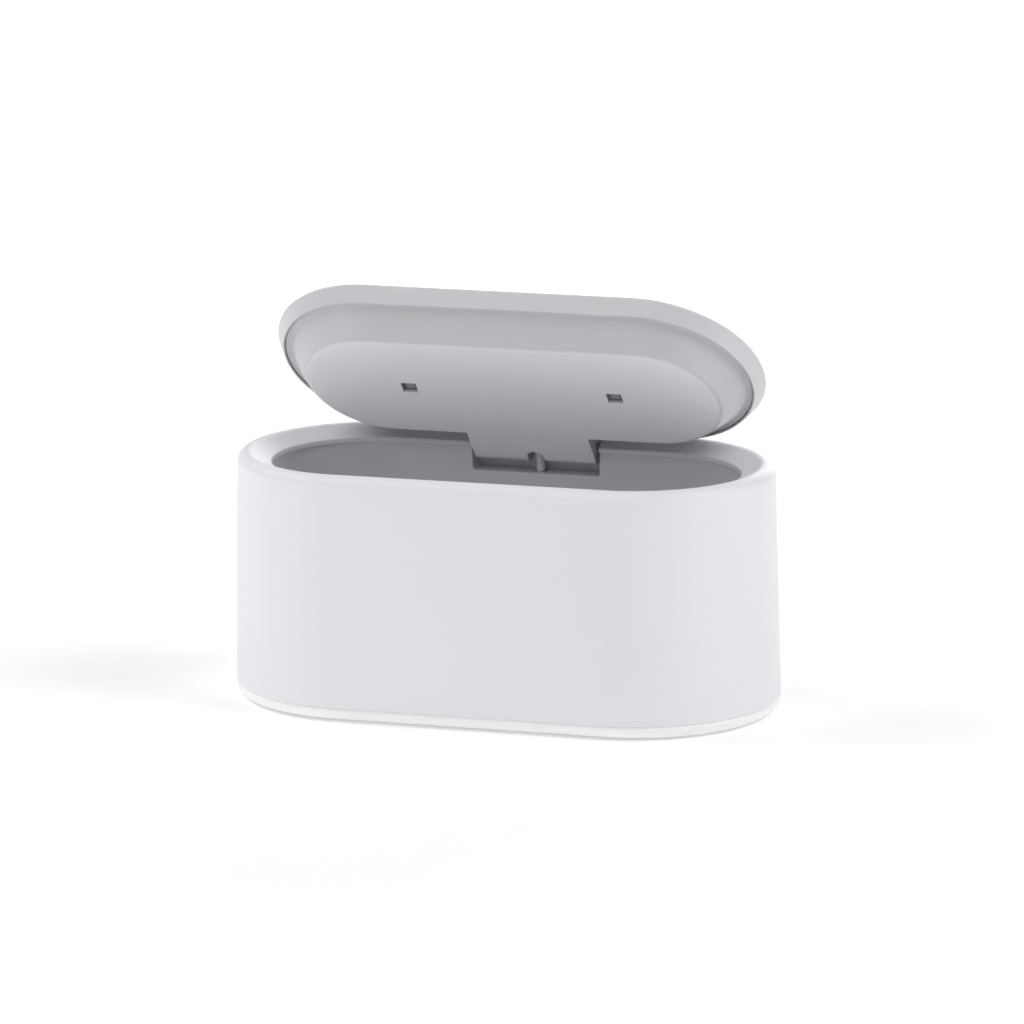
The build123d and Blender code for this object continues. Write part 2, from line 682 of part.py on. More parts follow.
with BuildPart() as lid_panel:
    with BuildSketch(lid_plane.offset(ring_recess + ring_height)):
        case_outline(rebate_inset)
    extrude(amount=ceiling - ring_recess - ring_height)
    with BuildSketch(lid_plane.offset(ring_recess)):
        case_outline(flange_inset)
    extrude(amount=ring_height)
    with BuildSketch(lid_plane.offset(ring_recess)):
        case_outline(plug_root_inset)
    extrude(amount=-plug_depth - ring_recess, taper=plug_slope)
    fillet(lid_panel.faces().sort_by(lid_up)[0].edges(), radius=plug_foot_round)
    ring_face = lid_panel.faces().filter_by(lid_plane).sort_by(lid_up)[1]
    fillet(ring_face.inner_wires()[0].edges(), radius=plug_root_round)
    # hinge tab level with the panel, ending in the barrel
    with BuildSketch(lid_section):
        with BuildLine():
            Polyline(
                (tab_front, -plug_depth),
                (pivot_y, -plug_depth),
                (pivot_y, -fit_gap),
                (flange_y, -fit_gap),
                (flange_y, ring_recess + seam_overlap),
                (tab_front, ring_recess + seam_overlap),
                close=True,
            )
        make_face()
        with Locations((pivot_y, -barrel_drop)):
            Circle(barrel_radius)
    extrude(amount=tab_half, both=True)
    # hollow of the plug
    with BuildSketch(lid_plane.offset(ceiling)):
        case_outline(cavity_inset)
    extrude(amount=-ceiling - panel_inside, taper=plug_slope, mode=Mode.SUBTRACT)
    # cores in the tab, one each side of the lead's channel, and the channel itself
    with BuildSketch(lid_plane.offset(-panel_inside)):
        with mirrored_pair(core_width, (tab_front + core_rear) / 2):
            Rectangle(core_width, core_rear - tab_front)
    extrude(amount=panel_inside - panel_wall, mode=Mode.SUBTRACT)
    with BuildSketch(lid_section.offset(lead_x)):
        with Locations(((tab_front + pivot_y) / 2, channel_z)):
            Rectangle(pivot_y - tab_front, channel_width)
    extrude(amount=channel_width / 2, both=True, mode=Mode.SUBTRACT)
    # slot under the barrel, round at its front end
    slot_round_y = pivot_y - slot_lead_in + slot_width / 2
    with BuildSketch(lid_plane.offset(slot_top)):
        with Locations((slot_x, slot_round_y)):
            Circle(slot_width / 2)
        with Locations((slot_x, slot_round_y + barrel_radius)):
            Rectangle(slot_width, 2 * barrel_radius)
    extrude(amount=-2 * plug_depth, mode=Mode.SUBTRACT)
    # bores for the two pins
    for outward in (1, -1):
        with BuildSketch(lid_section.offset(outward * (pin_start - 2 * fit_gap))):
            with Locations((pivot_y, -barrel_drop)):
                Circle(pin_radius + pin_fit)
        extrude(amount=outward * pin_length, mode=Mode.SUBTRACT)
    # lamp windows, each with a seat for its glass
    with BuildSketch(lid_plane.offset(-plug_depth)):
        with mirrored_pair(window_x, 0):
            Rectangle(window_width, window_length)
    extrude(amount=panel_wall, mode=Mode.SUBTRACT)
    with BuildSketch(lid_plane.offset(window_recess - plug_depth)):
        with mirrored_pair(window_x, 0):
            Rectangle(glass_side + 2 * glass_gap, glass_side + 2 * glass_gap)
    extrude(amount=panel_wall, mode=Mode.SUBTRACT)
    # posts for the lamp board
    with BuildSketch(lid_plane.offset(-panel_inside)):
        with mirrored_pair(post_x, 0):
            Circle(post_radius)
    extrude(amount=panel_inside + lamp_board_foot)
    with BuildSketch(lid_plane.offset(lamp_board_foot)):
        with mirrored_pair(post_x, 0):
            Circle(board_screw_radius)
    extrude(amount=-post_hole_depth, mode=Mode.SUBTRACT)
    # pockets for the lid magnets
    boss_margin = 2 * (magnet_boss_wall + fit_gap)
    with BuildSketch(lid_plane.offset(-panel_inside)):
        with mirrored_pair(magnet_x, -lid_magnet_y):
            Rectangle(magnet_length + boss_margin, magnet_depth + boss_margin)
    extrude(amount=panel_inside + lid_magnet_foot + lid_magnet_height)
    with BuildSketch(lid_plane.offset(lid_magnet_foot)):
        with mirrored_pair(magnet_x, -lid_magnet_y):
            Rectangle(magnet_length + 2 * fit_gap, magnet_depth + 2 * fit_gap)
    extrude(amount=ceiling - lid_magnet_foot, mode=Mode.SUBTRACT)
lid_panel.part.label = "lid_panel"
export_step(lid_panel.part, "parts/lid_panel.step")

# ---------------------------------------------------------------- lamps, their board and windows
lamp_board_overhang = 6.0  # beyond each lamp's middle
lamp_board_length = 2 * (window_x + lamp_board_overhang)
lamp_board_width = 10.0
lamp_plug_height = 2.6
lamp_plug_y = lamp_board_width / 2 - plug_width / 2

with BuildPart() as window_glasses:
    with BuildSketch(lid_plane.offset(window_recess - plug_depth)):
        with mirrored_pair(window_x, 0):
            Rectangle(glass_side, glass_side)
    extrude(amount=glass_wall)
window_glasses.part.label = "window_glasses"
export_step(window_glasses.part, "parts/window_glasses.step")

with BuildPart() as uv_lamps:
    with BuildSketch(lid_plane.offset(lamp_board_foot)):
        with mirrored_pair(window_x, 0):
            Rectangle(lamp_side, lamp_side)
    extrude(amount=-lamp_height)
uv_lamps.part.label = "uv_lamps"
export_step(uv_lamps.part, "parts/uv_lamps.step")

with BuildPart() as lamp_board:
    with BuildSketch(lid_plane.offset(lamp_board_foot)):
        Rectangle(lamp_board_length, lamp_board_width)
        with mirrored_pair(post_x, 0):
            Circle(board_screw_radius, mode=Mode.SUBTRACT)
    extrude(amount=lamp_board_wall)
lamp_board.part.label = "lamp_board"
export_step(lamp_board.part, "parts/lamp_board.step")

with BuildPart() as lamp_board_screws:
    with BuildSketch(lid_plane.offset(lamp_board_top)):
        with mirrored_pair(post_x, 0):
            Circle(2 * board_screw_radius)
    extrude(amount=board_screw_radius)
    with BuildSketch(lid_plane.offset(lamp_board_top)):
        with mirrored_pair(post_x, 0):
            Circle(board_screw_radius)
    extrude(amount=-lamp_board_wall - post_hole_depth + fit_gap)
lamp_board_screws.part.label = "lamp_board_screws"
export_step(lamp_board_screws.part, "parts/lamp_board_screws.step")

with BuildPart() as lamp_connector:
    with BuildSketch(lid_plane.offset(lamp_board_top)):
        with Locations((lead_x, lamp_plug_y)):
            Rectangle(plug_length, plug_width)
    extrude(amount=lamp_plug_height)
    chamfer(lamp_connector.faces().sort_by(lid_up)[-1].edges(), length=plug_bevel)
lamp_connector.part.label = "lamp_connector"
export_step(lamp_connector.part, "parts/lamp_connector.step")

with BuildPart() as lid_magnets:
    with BuildSketch(lid_plane.offset(lid_magnet_foot)):
        with mirrored_pair(magnet_x, -lid_magnet_y):
            Rectangle(magnet_length, magnet_depth)
    extrude(amount=lid_magnet_height)
lid_magnets.part.label = "lid_magnets"
export_step(lid_magnets.part, "parts/lid_magnets.step")

# ================================================================ lead across the hinge
lamp_plug_middle = lamp_board_top + lamp_plug_height / 2
lead_straight = 4.0  # straight out of its plug
lead_slant = 5.0  # run in which it drops to the channel
lead_overrun = 1.1  # it turns down this far beyond the pivot, on the lid
lead_rear_inset = 4.15  # behind the liner, at the foot
lead_turn_lift = 3.6  # turns forward this far above the liner's underside
lead_drop_start = lamp_board_width / 2 + lead_straight
lead_drop_end = lead_drop_start + lead_slant
lead_bend_y = pivot_y + lead_overrun
lead_rear_y = half_depth - lead_rear_inset
lead_turn_height = tub_underside + lead_turn_lift
lid_bend = 8.0
hinge_bend = 6.0
foot_bend = 9.0
plug_bend = 5.0

with BuildPart() as lid_lead:
    with BuildLine() as lead_path:
        FilletPolyline(
            lid_plane.from_local_coords((lead_x, lamp_board_width / 2, lamp_plug_middle)),
            lid_plane.from_local_coords((lead_x, lead_drop_start, lamp_plug_middle)),
            lid_plane.from_local_coords((lead_x, lead_drop_end, channel_z)),
            lid_plane.from_local_coords((lead_x, lead_bend_y, channel_z)),
            (lead_x, lead_rear_y, lead_turn_height),
            (lead_plug_x, lead_rear_y, plug_centre),
            (lead_plug_x, lead_plug_y + plug_width / 2, plug_centre),
            radius=[lid_bend, lid_bend, hinge_bend, foot_bend, plug_bend],
        )
    with BuildSketch(Plane(origin=lead_path.line @ 0, z_dir=lead_path.line % 0)):
        Circle(lead_radius)
    sweep(path=lead_path.line)
lid_lead.part.label = "lid_lead"
export_step(lid_lead.part, "parts/lid_lead.step")
lead_length = lead_path.wires()[0].length
print("lid_lead bends", lid_bend, lid_bend, hinge_bend, foot_bend, plug_bend)
print("lid_lead length", round(lead_length, 2), "volume", round(lid_lead.part.volume, 2))
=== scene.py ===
import json
from math import cos, pi, radians, sin

import bmesh
import bpy
from mathutils import Matrix, Vector


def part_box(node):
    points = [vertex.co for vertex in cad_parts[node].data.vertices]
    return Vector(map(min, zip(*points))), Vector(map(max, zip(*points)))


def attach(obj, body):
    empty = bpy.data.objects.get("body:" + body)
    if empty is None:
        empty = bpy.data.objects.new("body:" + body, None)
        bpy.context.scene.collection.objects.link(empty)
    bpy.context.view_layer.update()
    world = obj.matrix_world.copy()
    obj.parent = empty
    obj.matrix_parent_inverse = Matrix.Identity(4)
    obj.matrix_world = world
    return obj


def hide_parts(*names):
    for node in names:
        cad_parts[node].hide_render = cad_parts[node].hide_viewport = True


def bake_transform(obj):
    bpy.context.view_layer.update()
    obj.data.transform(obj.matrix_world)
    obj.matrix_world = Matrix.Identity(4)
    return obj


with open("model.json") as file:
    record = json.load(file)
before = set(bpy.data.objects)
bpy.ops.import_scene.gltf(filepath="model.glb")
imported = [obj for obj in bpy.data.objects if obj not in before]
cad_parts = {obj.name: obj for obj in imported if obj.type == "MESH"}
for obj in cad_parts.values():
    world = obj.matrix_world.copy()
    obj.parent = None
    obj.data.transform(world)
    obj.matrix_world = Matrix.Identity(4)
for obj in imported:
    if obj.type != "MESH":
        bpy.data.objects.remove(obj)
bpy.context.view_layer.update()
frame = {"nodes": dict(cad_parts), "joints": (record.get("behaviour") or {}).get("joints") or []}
nodes = frame["nodes"]
mm = 0.001
print("frame loaded:", len(nodes), "nodes")


# helpers

def hexToLinear(hexColour):
    channels = []
    for start in (0, 2, 4):
        value = int(hexColour[start:start + 2], 16) / 255
        channels.append(value / 12.92 if value <= 0.04045 else ((value + 0.055) / 1.055) ** 2.4)
    return (*channels, 1.0)


def addNode(tree, kind, inputs=None, **settings):
    # an input takes a value, a hex colour, one output, or whole nodes by their first output
    node = tree.nodes.new(kind)
    for name, value in settings.items():
        setattr(node, name, value)
    for name, wanted in (inputs or {}).items():
        for value in wanted if isinstance(wanted, list) else [wanted]:
            if isinstance(value, bpy.types.Node):
                value = next(socket for socket in value.outputs if socket.enabled)
            if isinstance(value, bpy.types.NodeSocket):
                tree.links.new(value, node.inputs[name])
            elif isinstance(value, str):
                node.inputs[name].default_value = hexToLinear(value)
            else:
                node.inputs[name].default_value = value
    return node


def newMaterial(name):
    # a bare material, its tree, and the place on the object that its patterns start from
    material = bpy.data.materials.new(name)
    material.use_nodes = True
    material.node_tree.nodes.clear()
    at = addNode(material.node_tree, "ShaderNodeTexCoord").outputs["Object"]
    return material, material.node_tree, at


midRange = {"From Min": 0.3, "From Max": 0.7}   # a noise texture's values mostly lie here


def finishMaterial(material, look, tone, relief, glossBy=None, **sockets):
    # what every material ends in: its relief, a gloss that is even or follows one of its
    # patterns, and the shader. A look without an IOR keeps the default, as a metal's does
    tree = material.node_tree
    bump = addNode(tree, "ShaderNodeBump", {
        "Height": relief, "Strength": look["bump"], "Distance": look["reliefMm"] * mm})
    finish = {"Base Color": tone, "Normal": bump, **sockets}
    if glossBy is None:
        finish["Roughness"] = look["roughness"]
    else:
        finish["Roughness"] = addNode(tree, "ShaderNodeMapRange", {
            "Value": glossBy, **midRange, "To Min": look["gloss"][0], "To Max": look["gloss"][1]})
    if "ior" in look:
        finish["IOR"] = look["ior"]
    if "scatterMm" in look:
        finish.update({"Subsurface Weight": look["depth"], "Subsurface Radius": look["scatter"],
                       "Subsurface Scale": look["scatterMm"] * mm})
    if "coat" in look:
        finish.update({"Coat Weight": look["coat"], "Coat Roughness": look["coatRoughness"]})
    shader = addNode(tree, "ShaderNodeBsdfPrincipled", finish)
    addNode(tree, "ShaderNodeOutputMaterial", {"Surface": shader})
    return material


def dress(nodeName, material):
    mesh = nodes[nodeName].data
    mesh.materials.clear()
    mesh.materials.append(material)


# the lid's own directions, for what follows the lid

hinge = frame["joints"][0]
lidTurn = radians(-hinge["range_deg"][0])   # how far the lid stands open in the frame
lidUp = Vector((0, sin(lidTurn), cos(lidTurn)))
lidRear = Vector((0, cos(lidTurn), -sin(lidTurn)))
pivot = Vector(hinge["pos_m"])
faceDrop = -min((v.co - pivot).dot(lidUp) for v in nodes["lid_panel"].data.vertices)
# from the hinge: X across, Y towards the lid's rear, Z towards its top
lidFrame = {"Location": pivot, "Rotation": (-lidTurn, 0, 0)}


# moulded plastics

def mouldedPlastic(name, look, paintedLightOnFace=False):
    # injection moulded ABS from a spark-eroded tool: an even, very fine grain, soft broad
    # highlights, and a faint change of tone and gloss where the melt flowed. The real grain is
    # about 0.05 mm, too fine to show, so it is drawn coarser
    material, tree, at = newMaterial(name)
    grain = addNode(tree, "ShaderNodeTexNoise", {
        "Vector": at, "Scale": 1 / (look["grainMm"] * mm), "Detail": 2.0, "Roughness": 0.6})
    flow = addNode(tree, "ShaderNodeTexNoise", {
        "Vector": at, "Scale": 1 / (look["flowMm"] * mm), "Detail": 3.0})
    tone = addNode(tree, "ShaderNodeMix", {
        "Factor": flow, "A": look["colour"], "B": look["colourDeep"]}, data_type="RGBA")
    if paintedLightOnFace:
        # painted light: the flat face and its tab get a lighter colour than the plug's slopes,
        # standing in for more light falling on them
        place = addNode(tree, "ShaderNodeMapping", {"Vector": at, **lidFrame},
                        vector_type="TEXTURE")
        depth = addNode(tree, "ShaderNodeSeparateXYZ", {"Vector": place}).outputs["Z"]
        paintedLightMask = addNode(tree, "ShaderNodeMapRange", {
            "Value": depth, "To Min": 1.0, "To Max": 0.0,
            "From Min": -faceDrop, "From Max": look["paintedLightEdgeMm"] * mm - faceDrop})
        tone = addNode(tree, "ShaderNodeMix", {
            "Factor": paintedLightMask, "A": tone, "B": look["paintedLightColour"]}, data_type="RGBA")
    return finishMaterial(material, look, tone, grain, glossBy=flow)


shellLook = {"colour": "ECEDF0", "colourDeep": "EAEBEE", "grainMm": 0.16, "reliefMm": 0.03,
             "flowMm": 35.0, "gloss": (0.44, 0.48), "bump": 0.12, "ior": 1.54, "depth": 0.05,
             "scatter": (1.0, 0.95, 0.9), "scatterMm": 0.6}
# painted light: the base cover is the shell's white plastic drawn lighter, for the light thrown up
# from the floor onto its band
coverLook = dict(shellLook, colour="FAFAFB", colourDeep="F8F9FA")
# painted shade: the liner, the lid and its plug are the shell's white plastic, drawn in greyer
# copies of its colour for the shade inside the case and under the open lid, the plug's slopes
# greyest
linerLook = dict(shellLook, colour="DDDEE1", colourDeep="DBDCDF", grainMm=0.12, reliefMm=0.024,
                 flowMm=30.0, gloss=(0.34, 0.38), bump=0.06)
lidLook = dict(linerLook, colour="D1D2D5", colourDeep="CFD0D3")
# painted light: the lighter colour masked onto the plug's flat face
plugLook = dict(linerLook, colour="C9CACD", colourDeep="C7C8CB", paintedLightColour="F2F3F5",
                paintedLightEdgeMm=0.3)
dress("outer_shell", mouldedPlastic("matte moulded white ABS", shellLook))
dress("base_cover", mouldedPlastic("matte moulded white ABS with painted floor light", coverLook))
dress("inner_tub", mouldedPlastic("satin moulded white ABS in painted shade", linerLook))
dress("lid_shell", mouldedPlastic("satin moulded lid ABS in painted shade", lidLook))
dress("lid_panel", mouldedPlastic("satin moulded plug ABS, painted shade and light", plugLook, paintedLightOnFace=True))
print("plastics done")


# window glass

def coverGlass(name, look):
    # quartz that lets ultraviolet through: a smooth, glassy gloss. Painted shade: the clear glass
    # is drawn in an opaque dark colour for the unlit inside behind it, with the lamp behind painted
    # in dimly in the middle of each window
    material, tree, at = newMaterial(name)
    place = addNode(tree, "ShaderNodeMapping", {"Vector": at, **lidFrame}, vector_type="TEXTURE")
    axes = addNode(tree, "ShaderNodeSeparateXYZ", {"Vector": place}).outputs
    eachSide = addNode(tree, "ShaderNodeMath", {0: axes["X"]}, operation="ABSOLUTE")
    fromWindow = addNode(tree, "ShaderNodeMath", {0: eachSide, 1: look["windowMm"] * mm},
                         operation="SUBTRACT")
    offX = addNode(tree, "ShaderNodeMath", {0: fromWindow}, operation="ABSOLUTE")
    # the windows lie on the lid's middle line, which is pivot.y in front of the hinge
    fromMiddle = addNode(tree, "ShaderNodeMath", {0: axes["Y"], 1: pivot.y}, operation="ADD")
    offY = addNode(tree, "ShaderNodeMath", {0: fromMiddle}, operation="ABSOLUTE")
    offCentre = addNode(tree, "ShaderNodeMath", {0: offX, 1: offY}, operation="MAXIMUM")
    border = addNode(tree, "ShaderNodeMapRange", {
        "Value": offCentre, "From Min": (look["lampMm"] / 2 - look["edgeMm"]) * mm,
        "From Max": (look["lampMm"] / 2 + look["edgeMm"]) * mm})
    haze = addNode(tree, "ShaderNodeTexNoise", {
        "Vector": at, "Scale": 1 / (look["hazeMm"] * mm), "Detail": 2.0})
    lamp = addNode(tree, "ShaderNodeMix", {
        "Factor": haze, "A": look["lampColour"], "B": look["lampColourDeep"]}, data_type="RGBA")
    tone = addNode(tree, "ShaderNodeMix", {"Factor": border, "A": lamp, "B": look["colour"]},
                   data_type="RGBA")
    return finishMaterial(material, look, tone, haze)


# painted shade: the dark colour stands for the unlit inside, the lamp colours for the lamp seen
# dimly behind the glass
glassLook = {"colour": "64656A", "lampColour": "9A9B9D", "lampColourDeep": "8E8F92",
             "windowMm": 23.0, "lampMm": 1.9, "edgeMm": 0.3, "hazeMm": 0.8, "reliefMm": 0.004,
             "bump": 0.02, "roughness": 0.08, "ior": 1.46, "coat": 0.3, "coatRoughness": 0.08}
dress("window_glasses", coverGlass("dark quartz glass", glassLook))
print("glass done")


# rubber, foam and wire covering

def siliconeRubber(name, look):
    # press-moulded silicone: no gloss to speak of, a velvety skin and a few specks of dust
    material, tree, at = newMaterial(name)
    skin = addNode(tree, "ShaderNodeTexNoise", {
        "Vector": at, "Scale": 1 / (look["skinMm"] * mm), "Detail": 4.0, "Roughness": 0.7})
    dust = addNode(tree, "ShaderNodeTexVoronoi", {
        "Vector": at, "Scale": 1 / (look["dustMm"] * mm)})
    speck = addNode(tree, "ShaderNodeMapRange", {
        "Value": dust, "From Min": look["speckCore"], "From Max": look["speckRim"],
        "To Min": 1.0, "To Max": 0.0})
    rubber = addNode(tree, "ShaderNodeMix", {
        "Factor": skin, "A": look["colour"], "B": look["colourDeep"]}, data_type="RGBA")
    tone = addNode(tree, "ShaderNodeMix", {"Factor": speck, "A": rubber, "B": look["dust"]},
                   data_type="RGBA")
    return finishMaterial(material, look, tone, skin, glossBy=skin)


def foamTape(name, look):
    # closed-cell foam: the cut cells make a dull, pitted surface
    material, tree, at = newMaterial(name)
    cells = addNode(tree, "ShaderNodeTexVoronoi", {
        "Vector": at, "Scale": 1 / (look["cellMm"] * mm)})
    tone = addNode(tree, "ShaderNodeMix", {
        "Factor": cells, "A": look["colour"], "B": look["colourDeep"]}, data_type="RGBA")
    return finishMaterial(material, look, tone, cells)


def wireCovering(name, look, second=None):
    # extruded PVC: a slight sheen and faint lines left by the die
    material, tree, at = newMaterial(name)
    lines = addNode(tree, "ShaderNodeTexNoise", {
        "Vector": at, "Scale": 1 / (look["lineMm"] * mm), "Detail": 3.0, "Roughness": 0.6,
        "Distortion": 0.4})
    tone = addNode(tree, "ShaderNodeMix", {
        "Factor": lines, "A": look["colour"], "B": look["colourDeep"]}, data_type="RGBA")
    if second:
        # of the two wires, the second lies outside this corner: right of it or in front of it
        place = addNode(tree, "ShaderNodeSeparateXYZ", {"Vector": at}).outputs
        right = addNode(tree, "ShaderNodeMath", {0: place["X"], 1: second["rightOfMm"] * mm},
                        operation="SUBTRACT")
        front = addNode(tree, "ShaderNodeMath", {0: second["frontOfMm"] * mm, 1: place["Y"]},
                        operation="SUBTRACT")
        outside = addNode(tree, "ShaderNodeMath", {0: right, 1: front}, operation="MAXIMUM")
        isSecond = addNode(tree, "ShaderNodeMapRange", {
            "Value": outside, "From Min": -second["edgeMm"] * mm,
            "From Max": second["edgeMm"] * mm})
        other = addNode(tree, "ShaderNodeMix", {
            "Factor": lines, "A": second["colour"], "B": second["colourDeep"]}, data_type="RGBA")
        tone = addNode(tree, "ShaderNodeMix", {"Factor": isSecond, "A": tone, "B": other},
                       data_type="RGBA")
    return finishMaterial(material, look, tone, lines, glossBy=lines)


rubberLook = {"colour": "A9AAAD", "colourDeep": "9B9C9F", "dust": "C9C9C8", "skinMm": 0.3,
              "dustMm": 1.4, "speckCore": 0.05, "speckRim": 0.11, "gloss": (0.62, 0.78),
              "bump": 0.25, "reliefMm": 0.05, "ior": 1.41, "depth": 0.15,
              "scatter": (1.0, 1.0, 1.0), "scatterMm": 0.8}
foamLook = {"colour": "17181A", "colourDeep": "2B2C2E", "cellMm": 0.45, "bump": 0.8,
            "reliefMm": 0.12, "roughness": 0.95, "ior": 1.5}
batteryWireLook = {"colour": "1B1B1D", "colourDeep": "252527", "lineMm": 0.4, "bump": 0.1,
                   "gloss": (0.36, 0.5), "reliefMm": 0.02, "ior": 1.53}
redWire = {"colour": "B3201B", "colourDeep": "9C1A17", "rightOfMm": 10.4, "frontOfMm": -4.5,
           "edgeMm": 0.05}
jacketLook = dict(batteryWireLook, colour="EDEEF0", colourDeep="E4E5E7", lineMm=0.5, bump=0.08)
footRubber = siliconeRubber("moulded grey silicone rubber", rubberLook)
leadJacket = wireCovering("extruded pale grey PVC", jacketLook)
dress("foot_pads", footRubber)
dress("battery_pad", foamTape("black closed-cell foam tape", foamLook))
dress("battery_leads", wireCovering("extruded red and black PVC", batteryWireLook, redWire))
print("rubber, foam and wires done")


# metals

def platedMetal(name, look):
    # bright plating or ground steel: clear metal reflections, broken by fine working marks and
    # a slight unevenness of the skin
    material, tree, at = newMaterial(name)
    drawn = addNode(tree, "ShaderNodeMapping", {"Vector": at, "Scale": look["stretch"]})
    marks = addNode(tree, "ShaderNodeTexNoise", {
        "Vector": drawn, "Scale": 1 / (look["markMm"] * mm), "Detail": 4.0, "Roughness": 0.65})
    clouds = addNode(tree, "ShaderNodeTexNoise", {
        "Vector": at, "Scale": 1 / (look["cloudMm"] * mm), "Detail": 2.0})
    tone = addNode(tree, "ShaderNodeMix", {
        "Factor": clouds, "A": look["colour"], "B": look["colourDeep"]}, data_type="RGBA")
    return finishMaterial(material, look, tone, marks, glossBy=marks, Metallic=1.0)


zincLook = {"colour": "C9CCD1", "colourDeep": "B9BDC6", "markMm": 0.25, "cloudMm": 1.6,
            "stretch": (1, 1, 1), "gloss": (0.25, 0.39), "bump": 0.15, "reliefMm": 0.02}
pinLook = dict(zincLook, colour="CFCFCE", colourDeep="C6C6C6", stretch=(6, 1, 1),
               gloss=(0.14, 0.26), markMm=0.6)
nickelLook = dict(zincLook, colour="D5D0C6", colourDeep="CBC5B8", gloss=(0.12, 0.2), markMm=0.5,
                  bump=0.05)
tinLook = dict(zincLook, colour="D2D3D6", colourDeep="C4C5C9", gloss=(0.22, 0.34), markMm=0.2)
goldLook = dict(zincLook, colour="E3B85C", colourDeep="D6A94C", gloss=(0.15, 0.25), markMm=0.2)
zincSteel = platedMetal("bright zinc-plated steel", zincLook)
tinPlate = platedMetal("tinned copper", tinLook)
goldPlate = platedMetal("gold-plated copper", goldLook)
magnetNickel = platedMetal("nickel-plated magnet", nickelLook)
dress("hinge_pins", platedMetal("ground stainless steel", pinLook))
for holder in ("case_magnets", "lid_magnets"):
    dress(holder, magnetNickel)
for screws in ("base_screws", "board_screws", "lamp_board_screws"):
    dress(screws, zincSteel)


def socketSteel(name, look):
    # deep-drawn stainless steel round a black moulded tongue
    material, tree, at = newMaterial(name)
    place = addNode(tree, "ShaderNodeSeparateXYZ", {"Vector": at}).outputs
    beyond = []
    for axis, middle, span in (("X", look["centre"].x, look["tongueMm"][0]),
                               ("Z", look["centre"].z, look["tongueMm"][1])):
        off = addNode(tree, "ShaderNodeMath", {0: place[axis], 1: middle}, operation="SUBTRACT")
        away = addNode(tree, "ShaderNodeMath", {0: off}, operation="ABSOLUTE")
        beyond.append(addNode(tree, "ShaderNodeMapRange", {
            "Value": away, "From Min": (span / 2 - look["edgeMm"]) * mm,
            "From Max": (span / 2 + look["edgeMm"]) * mm}))
    metal = addNode(tree, "ShaderNodeMath", dict(enumerate(beyond)), operation="MAXIMUM")
    drawn = addNode(tree, "ShaderNodeMapping", {"Vector": at, "Scale": look["stretch"]})
    marks = addNode(tree, "ShaderNodeTexNoise", {
        "Vector": drawn, "Scale": 1 / (look["markMm"] * mm), "Detail": 3.0})
    tone = addNode(tree, "ShaderNodeMix", {
        "Factor": metal, "A": look["tongue"], "B": look["colour"]}, data_type="RGBA")
    return finishMaterial(material, look, tone, marks, glossBy=marks, Metallic=metal)


socketLow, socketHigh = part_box("usb_socket")
socketLook = {"colour": "C4C5C8", "tongue": "141416", "centre": (socketLow + socketHigh) / 2,
              "tongueMm": (6.9, 0.9), "edgeMm": 0.04, "markMm": 0.6, "stretch": (8, 1, 8),
              "gloss": (0.24, 0.36), "bump": 0.1, "reliefMm": 0.02}
dress("usb_socket", socketSteel("drawn stainless steel", socketLook))
print("metals done")


# battery, boards and what they carry

def pouchFoil(name, look):
    # aluminium laminate drawn over the cell: satin silver with soft creases, and amber film
    # folded over the end where the wires leave
    material, tree, at = newMaterial(name)
    creases = addNode(tree, "ShaderNodeTexNoise", {
        "Vector": at, "Scale": 1 / (look["creaseMm"] * mm), "Detail": 5.0, "Roughness": 0.6,
        "Distortion": 1.2})
    place = addNode(tree, "ShaderNodeSeparateXYZ", {"Vector": at}).outputs["X"]
    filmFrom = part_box("battery_cell")[1].x - look["filmMm"] * mm
    film = addNode(tree, "ShaderNodeMapRange", {
        "Value": place, "From Min": filmFrom, "From Max": filmFrom + look["filmEdgeMm"] * mm})
    foil = addNode(tree, "ShaderNodeMix", {
        "Factor": creases, "A": look["colour"], "B": look["colourDeep"]}, data_type="RGBA")
    tone = addNode(tree, "ShaderNodeMix", {"Factor": film, "A": foil, "B": look["film"]},
                   data_type="RGBA")
    metal = addNode(tree, "ShaderNodeMapRange", {
        "Value": film, "To Min": look["metallic"], "To Max": 0.0})
    return finishMaterial(material, look, tone, creases, glossBy=creases, Metallic=metal)


def solderMask(name, look):
    # epoxy ink over etched copper: glossy, with the tracks standing up as slightly lighter
    # bands. Real tracks are about 0.3 mm wide, too fine to show, so they are drawn coarser
    material, tree, at = newMaterial(name)
    turned = addNode(tree, "ShaderNodeMapping", {"Vector": at, "Rotation": look["turn"]})
    tracks = addNode(tree, "ShaderNodeTexBrick", {
        "Vector": turned, "Scale": 1 / (look["trackPitchMm"] * mm),
        "Mortar Size": look["trackShare"], "Mortar Smooth": 0.3,
        "Color1": "000000", "Color2": "888888", "Mortar": "FFFFFF"})
    height = addNode(tree, "ShaderNodeRGBToBW", {"Color": tracks})
    speckle = addNode(tree, "ShaderNodeTexNoise", {
        "Vector": at, "Scale": 1 / (look["speckleMm"] * mm), "Detail": 2.0})
    tone = addNode(tree, "ShaderNodeMix", {
        "Factor": height, "A": look["colour"], "B": look["trackColour"]}, data_type="RGBA")
    return finishMaterial(material, look, tone, height, glossBy=speckle)


def mouldedEpoxy(name, look):
    # transfer-moulded epoxy and pressed ferrite: matt, slightly grainy, near black
    material, tree, at = newMaterial(name)
    grain = addNode(tree, "ShaderNodeTexNoise", {
        "Vector": at, "Scale": 1 / (look["grainMm"] * mm), "Detail": 4.0, "Roughness": 0.7})
    tone = addNode(tree, "ShaderNodeMix", {
        "Factor": grain, "A": look["colour"], "B": look["colourDeep"]}, data_type="RGBA")
    return finishMaterial(material, look, tone, grain, glossBy=grain)


